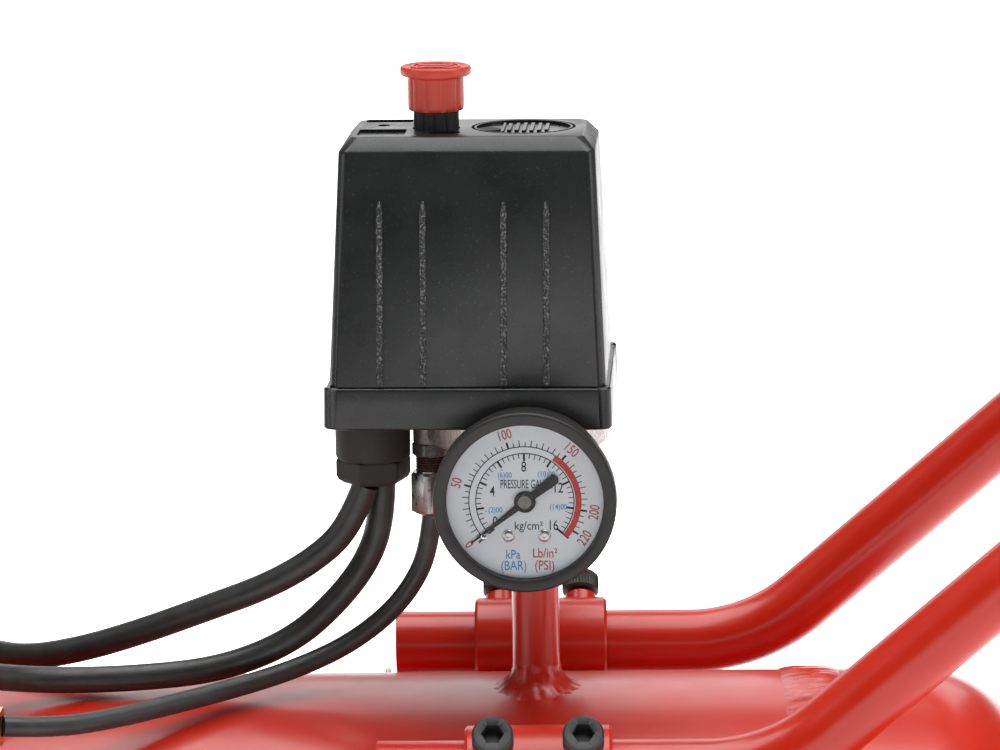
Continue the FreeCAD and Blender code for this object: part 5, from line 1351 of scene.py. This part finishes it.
class COMPRESSOR_OT_gauge(bpy.types.Operator):
    """Builds the gauge's case, bezel, window and pointer"""
    bl_idname = "compressor.gauge"
    bl_label = "Gauge"

    def execute(self, context):
        face = front(GAUGE_FRONT)
        back = front(GAUGE_BACK)
        bm = bmesh.new()
        outline = [(0.0, back), (22.5, back), (24.0, back + 0.5), (24.9, back + 1.6), (CASE_R, back + 2.6),
                   (CASE_R, face - 7.2), (25.2, face - 6.9), (26.2, face - 6.6), (BEZEL_R, face - 6.0),
                   (BEZEL_R, face - 0.9),
                   (26.2, face - 0.35), (25.8, face - 0.05), (25.4, face), (23.1, face - 0.1),
                   (22.75, face - 0.35),
                   (WINDOW_R, face - 0.7), (WINDOW_R, face - 4.4), (0.0, face - 4.4)]
        lathe(bm, outline, GAUGE_PLACE, 160)
        piece("case_and_bezel", bm, stove_black(), replaces=("gauge_case",), smooth=40.0)
        bm = bmesh.new()
        lathe(bm, [(0.0, 14.8), (6.4, 14.8), (6.4, back + 0.2), (0.0, back + 0.2)], GAUGE_PLACE, 48)
        nut_shape(bm, 14.0, back - 8.0, back - 0.2, GAUGE_PLACE)
        piece("gauge_stem", bm, turned_brass())

        bm = bmesh.new()
        dial = front(DIAL_Y)
        lathe(bm, [(0.0, dial - 0.8), (DIAL_R, dial - 0.8), (DIAL_R, dial), (0.0, dial)], GAUGE_PLACE, 128)
        piece("dial", bm, dial_plate(), replaces=("gauge_dial",))
        self.screws(dial)

        bm = bmesh.new()
        lathe(bm, [(0.0, face - 0.95), (22.62, face - 0.95), (22.62, face - 0.55), (0.0, face - 0.55)],
              GAUGE_PLACE, 128)
        piece("window", bm, clear_window(), replaces=("gauge_lens",))
        self.pointer(dial)
        return {"FINISHED"}

    def screws(self, dial):
        bm = bmesh.new()
        for x in (-4.8, 5.5):
            place = GAUGE_PLACE @ at(x, -10.05, dial)
            lathe(bm, [(0.0, -0.1), (1.84, -0.1), (1.84, 0.12), (1.60, 0.45), (1.05, 0.70), (0.55, 0.74),
                       (0.45, 0.35),
                       (0.0, 0.35)], place, 40)
        piece("dial_screws", bm, plated_steel(), smooth=30.0)
        bm = bmesh.new()
        lathe(bm, [(0.0, 0.0), (0.85, 0.0), (0.85, 0.9), (0.5, 1.2), (0.0, 1.3)],
              GAUGE_PLACE @ at(-11.9, -10.4, dial), 28)
        piece("stop_pin", bm, bright_plate())

    def pointer(self, dial):
        turn = GAUGE_PLACE @ Matrix.Rotation(POINTER_ANGLE, 4, "Z")
        bm = bmesh.new()
        blade = [(-11.9, -0.55), (-11.9, 0.55), (-11.1, 1.5), (-8.5, 1.5), (-2.6, 1.1), (0.0, 1.1),
                 (5.0, 0.85),
                 (14.0, 0.45), (19.7, 0.20), (19.9, 0.0), (19.7, -0.20), (14.0, -0.45), (5.0, -0.85),
                 (0.0, -1.1),
                 (-2.6, -1.1), (-8.5, -1.5), (-11.1, -1.5)]
        low = dial + 0.45
        loft(bm, [[turn @ Vector((x, y, z)) for x, y in blade] for z in (low, low + 0.28)])
        lathe(bm, [(0.0, dial + 0.4), (3.1, dial + 0.4), (3.1, dial + 0.95), (2.8, dial + 1.15),
                   (0.0, dial + 1.15)],
              GAUGE_PLACE, 64)
        black = finish("pointer_black", (0.014, 0.014, 0.014), 0.60, mottle=0.1, grain=0.02, swing=0.03)
        piece("pointer_hand", bm, black, "pointer", ("gauge_pointer",), edge=0.06)
        bm = bmesh.new()
        lathe(bm, [(0.0, dial + 1.1), (2.0, dial + 1.1), (2.0, dial + 1.32), (1.8, dial + 1.45),
                   (1.2, dial + 1.38),
                   (0.45, dial + 1.38), (0.35, dial + 1.46), (0.0, dial + 1.46)], GAUGE_PLACE, 48)
        piece("pointer_cap", bm, finish("pointer_cap", (0.16, 0.15, 0.14), 0.35, metallic=0.6, mottle=0.2),
              "pointer")


class COMPRESSOR_OT_dial_print(bpy.types.Operator):
    """Prints the dial's two scales, numbers and units"""
    bl_idname = "compressor.dial_print"
    bl_label = "Dial print"

    def execute(self, context):
        low = front(DIAL_Y) + 0.005
        high = low + PRINT
        black = bmesh.new()
        start, end = dial_angle(0.0), dial_angle(SCALE_FULL)
        for radius in SCALE_RINGS:
            arc_band(black, radius - RING_HALF, radius + RING_HALF, start, end, low, high, 110)
        for k in range(41):
            major = k % 5 == 0
            tick(black, dial_angle(0.4 * k), 11.9 if major else 12.6, SCALE_RINGS[0], TICK_WIDTHS[major],
                 low, high)
        for k in range(45):
            major = k % 10 == 0 or k == 44
            outer = 18.0 if major or k % 2 == 0 else 17.4
            tick(black, dial_angle(5.0 * k * PSI), SCALE_RINGS[1], outer, TICK_WIDTHS[major], low, high)
        tick(black, end, 11.9, 16.5, TICK_WIDTHS[True], low, high)
        dial_words(black, low, BLACK_WORDS)
        piece("dial_print_black", black, ink("black_ink", (0.012, 0.012, 0.014)))

        red = bmesh.new()
        arc_band(red, 14.5, 16.2, dial_angle(10.05), end, low + 0.004, high + 0.01, 60)
        piece("dial_print_band", red, ink("red_ink", (0.52, 0.030, 0.018)))
        red = bmesh.new()
        for value in (0, 50, 100, 150, 200, 220):
            angle = dial_angle(value * PSI) if value else POINTER_ANGLE
            place = GAUGE_PLACE @ at(NUMBERS_R * math.cos(angle), NUMBERS_R * math.sin(angle), 0.0,
                                     Matrix.Rotation(angle - math.pi / 2.0, 4, "Z"))
            if value >= 200:
                place = place @ Matrix.Rotation(math.pi, 4, "Z")
            lettering(red, str(value), 2.7, place, low, 0.72)
        dial_words(red, low, RED_WORDS)
        piece("dial_print_red", red, ink("dull_red_ink", (0.42, 0.045, 0.035)))

        blue = bmesh.new()
        dial_words(blue, low, BLUE_WORDS)
        for x, y in BLUE_DOTS:
            lathe(blue, [(0.0, low), (0.22, low), (0.22, high), (0.0, high)], GAUGE_PLACE @ at(x, y, 0.0), 12)
        piece("dial_print_blue", blue, ink("blue_ink", (0.03, 0.26, 0.55)))
        return {"FINISHED"}


# ---- the rest of the frame -----------------------------------------------------------------------
class COMPRESSOR_OT_pump(bpy.types.Operator):
    """Gives the pump, motor and their platform their finishes"""
    bl_idname = "compressor.pump"
    bl_label = "Pump and motor"

    def execute(self, context):
        wear(["crankcase", "crankcase_cover", "cylinder_head", "motor_housing"], sand_casting())
        wear(["cylinder"], cast_iron())
        wear(["connecting_rod", "piston", "delivery_pipe"], sand_casting())
        wear(["crankshaft"], machined_steel())
        wear(["head_bolts", "wheel_bolts"], plated_steel())
        wear(["stator"], winding_varnish())
        wear(["air_filter", "motor_fan", "fan_cover", "terminal_box"], black_plastic())
        wear(["reset_button"], knob_red())
        wear(["pump_platform", "wheel_bracket", "foot_bracket"], paint())
        wear(["vibration_mounts", "rubber_feet"], moulded_rubber())
        return {"FINISHED"}


class COMPRESSOR_OT_fittings(bpy.types.Operator):
    """Gives the valves, the drain and the air outlet their finishes"""
    bl_idname = "compressor.fittings"
    bl_label = "Fittings"

    def execute(self, context):
        wear(["check_valve", "safety_valve", "drain_cock", "coupler"], turned_brass())
        wear(["safety_ring"], plated_steel())
        wear(["regulator"], die_casting())
        wear(["regulator_knob"], black_plastic())
        wear(["coupler_sleeve"], bright_plate())
        return {"FINISHED"}


# ---- wheels --------------------------------------------------------------------------------------
WHEEL_X = -255.0
WHEEL_R = 65.0
WHEEL_Y = (116.0, 148.0)
WHEEL_MIDDLE = sum(WHEEL_Y) / 2.0
HUB_BORE = 6.1
HUB_R = 13.0
RIM_R = 44.0
DISC_HALF = 2.4
WINDOW_AT = 27.0
TREAD_BLOCKS = 44
TREAD_ROOT = 59.0
SPOKES = 5
SPOKE_STATIONS = ((11.5, 4.4, 11.0), (26.0, 3.9, 9.6), (41.0, 5.2, 9.0))     # radius, half width, half depth
TREAD_STATIONS = ((60.6, 14.0, 1.3), (63.4, 12.2, 1.8), (WHEEL_R, 9.4, 1.9), (WHEEL_R, 4.8, 1.9))
TYRE_FLANK = [(43.8, 12.6), (46.0, 14.4), (49.0, 15.0), (49.6, 15.5), (54.0, 15.7), (54.6, 15.2),
              (58.5, 14.8),
              (61.4, 13.4), (63.0, 11.2), (63.6, 8.5), (63.6, 3.4), (65.0, 3.2), (65.0, 0.8), (63.8, 0.6)]


class COMPRESSOR_OT_wheels(bpy.types.Operator):
    """Builds the two wheels with their treaded tyres"""
    bl_idname = "compressor.wheels"
    bl_label = "Wheels"

    def execute(self, context):
        for side, name in ((-1, "front"), (1, "rear")):
            place = at(WHEEL_X, 0.0, WHEEL_R, Matrix.Rotation(math.radians(-90.0 * side), 4, "X"))
            self.tyre(place, name)
            self.rim(place, name)
        return {"FINISHED"}

    def tyre(self, place, name):
        bm = bmesh.new()
        outline = [(radius, WHEEL_MIDDLE - reach) for radius, reach in TYRE_FLANK]
        outline += [(radius, WHEEL_MIDDLE + reach) for radius, reach in reversed(TYRE_FLANK)]
        lathe(bm, outline, place, 120, closed=True)
        for k in range(TREAD_BLOCKS):
            for way in (-1.0, 1.0):
                turn = place @ Matrix.Rotation(math.tau * (k + 0.25 * way) / TREAD_BLOCKS, 4, "Z")
                self.tread_block(bm, turn, way)
        piece(name + "_tyre", bm, moulded_rubber(), name + "_wheel", ("wheel_" + name,), smooth=38.0)

    def tread_block(self, bm, turn, way):
        stations = TREAD_STATIONS if way > 0.0 else reversed(TREAD_STATIONS)
        loft(bm, [[turn @ Vector((x, y, WHEEL_MIDDLE + way * reach))
                   for x, y in ((TREAD_ROOT, -half), (radius, -half), (radius, half), (TREAD_ROOT, half))]
                  for radius, reach, half in stations])

    def rim(self, place, name):
        low, high = WHEEL_Y
        bm = bmesh.new()
        lathe(bm, [(39.4, low + 4.0), (41.0, low + 3.2), (43.4, low + 2.6), (RIM_R, low + 3.4),
                   (RIM_R, high - 3.4), (43.4, high - 2.6), (41.0, high - 3.2), (39.4, high - 4.0)],
              place, 96, closed=True)
        lathe(bm, [(HUB_BORE, low - 5.8), (12.0, low - 5.8), (HUB_R, low - 5.0), (HUB_R, high - 3.2),
                   (12.2, high - 2.2), (9.8, high - 2.2), (9.2, high - 3.4), (HUB_BORE, high - 3.4)],
              place, 64, closed=True)
        for k in range(SPOKES):
            turn = place @ Matrix.Rotation(math.tau * k / SPOKES, 4, "Z")
            loft(bm, [[turn @ Vector((radius, y, WHEEL_MIDDLE + z)) for y, z in
                       ((-half, -depth), (half, -depth), (half * 0.7, depth), (-half * 0.7, depth))]
                      for radius, half, depth in SPOKE_STATIONS])
        piece(name + "_wheel_rim", bm, black_plastic(), name + "_wheel", edge=0.35,
              smooth=35.0)
        bm = bmesh.new()
        inner, outer = HUB_R - 0.5, RIM_R - 4.0
        low, high = WHEEL_MIDDLE - DISC_HALF, WHEEL_MIDDLE + DISC_HALF
        lathe(bm, [(inner, low), (outer, low), (outer, high), (inner, high)], place, 96, closed=True)
        disc = piece(name + "_wheel_disc", bm, black_plastic(), name + "_wheel", smooth=35.0)
        holes = bmesh.new()
        for k in range(SPOKES):
            turn = place @ Matrix.Rotation(math.tau * (k + 0.5) / SPOKES, 4, "Z")
            lathe(holes, [(0.0, low - 3.6), (7.9, low - 3.6), (7.9, high + 3.6), (0.0, high + 3.6)],
                  turn @ at(WINDOW_AT, 0.0, 0.0), 40)
        cut(disc, holes)


OPERATORS = (
    COMPRESSOR_OT_stage, COMPRESSOR_OT_cords, COMPRESSOR_OT_tank, COMPRESSOR_OT_welds, COMPRESSOR_OT_riser,
    COMPRESSOR_OT_handle, COMPRESSOR_OT_clamp_screws, COMPRESSOR_OT_switch_cover, COMPRESSOR_OT_switch_base,
    COMPRESSOR_OT_knob, COMPRESSOR_OT_manifold, COMPRESSOR_OT_gland, COMPRESSOR_OT_unloader,
    COMPRESSOR_OT_gauge, COMPRESSOR_OT_dial_print, COMPRESSOR_OT_pump, COMPRESSOR_OT_fittings,
    COMPRESSOR_OT_wheels,
)


class COMPRESSOR_PT_panel(bpy.types.Panel):
    """Lists the settings and one button for each group of pieces"""
    bl_idname = "COMPRESSOR_PT_panel"
    bl_label = "Air compressor"
    bl_space_type = "VIEW_3D"
    bl_region_type = "UI"
    bl_category = "Compressor"

    def draw(self, context):
        for group in ("compressor_finishes", "compressor_sizes", "compressor_stage"):
            owner = getattr(context.scene, group)
            for name in owner.bl_rna.properties.keys():
                if name not in ("rna_type", "name"):
                    self.layout.prop(owner, name)
        for operator in OPERATORS:
            self.layout.operator(operator.bl_idname)


GROUPS = (("compressor_finishes", CompressorFinishes), ("compressor_sizes", CompressorSizes),
          ("compressor_stage", CompressorStage))


def register():
    for name, group in GROUPS:
        bpy.utils.register_class(group)
        setattr(bpy.types.Scene, name, PointerProperty(type=group))
    for operator in OPERATORS:
        bpy.utils.register_class(operator)
    bpy.utils.register_class(COMPRESSOR_PT_panel)


def unregister():
    bpy.utils.unregister_class(COMPRESSOR_PT_panel)
    for operator in reversed(OPERATORS):
        bpy.utils.unregister_class(operator)
    for name, group in reversed(GROUPS):
        delattr(bpy.types.Scene, name)
        bpy.utils.unregister_class(group)


def main():
    register()
    for operator in OPERATORS:
        family, name = operator.bl_idname.split(".")
        getattr(getattr(bpy.ops, family), name)()


if __name__ == "__main__":
    main()
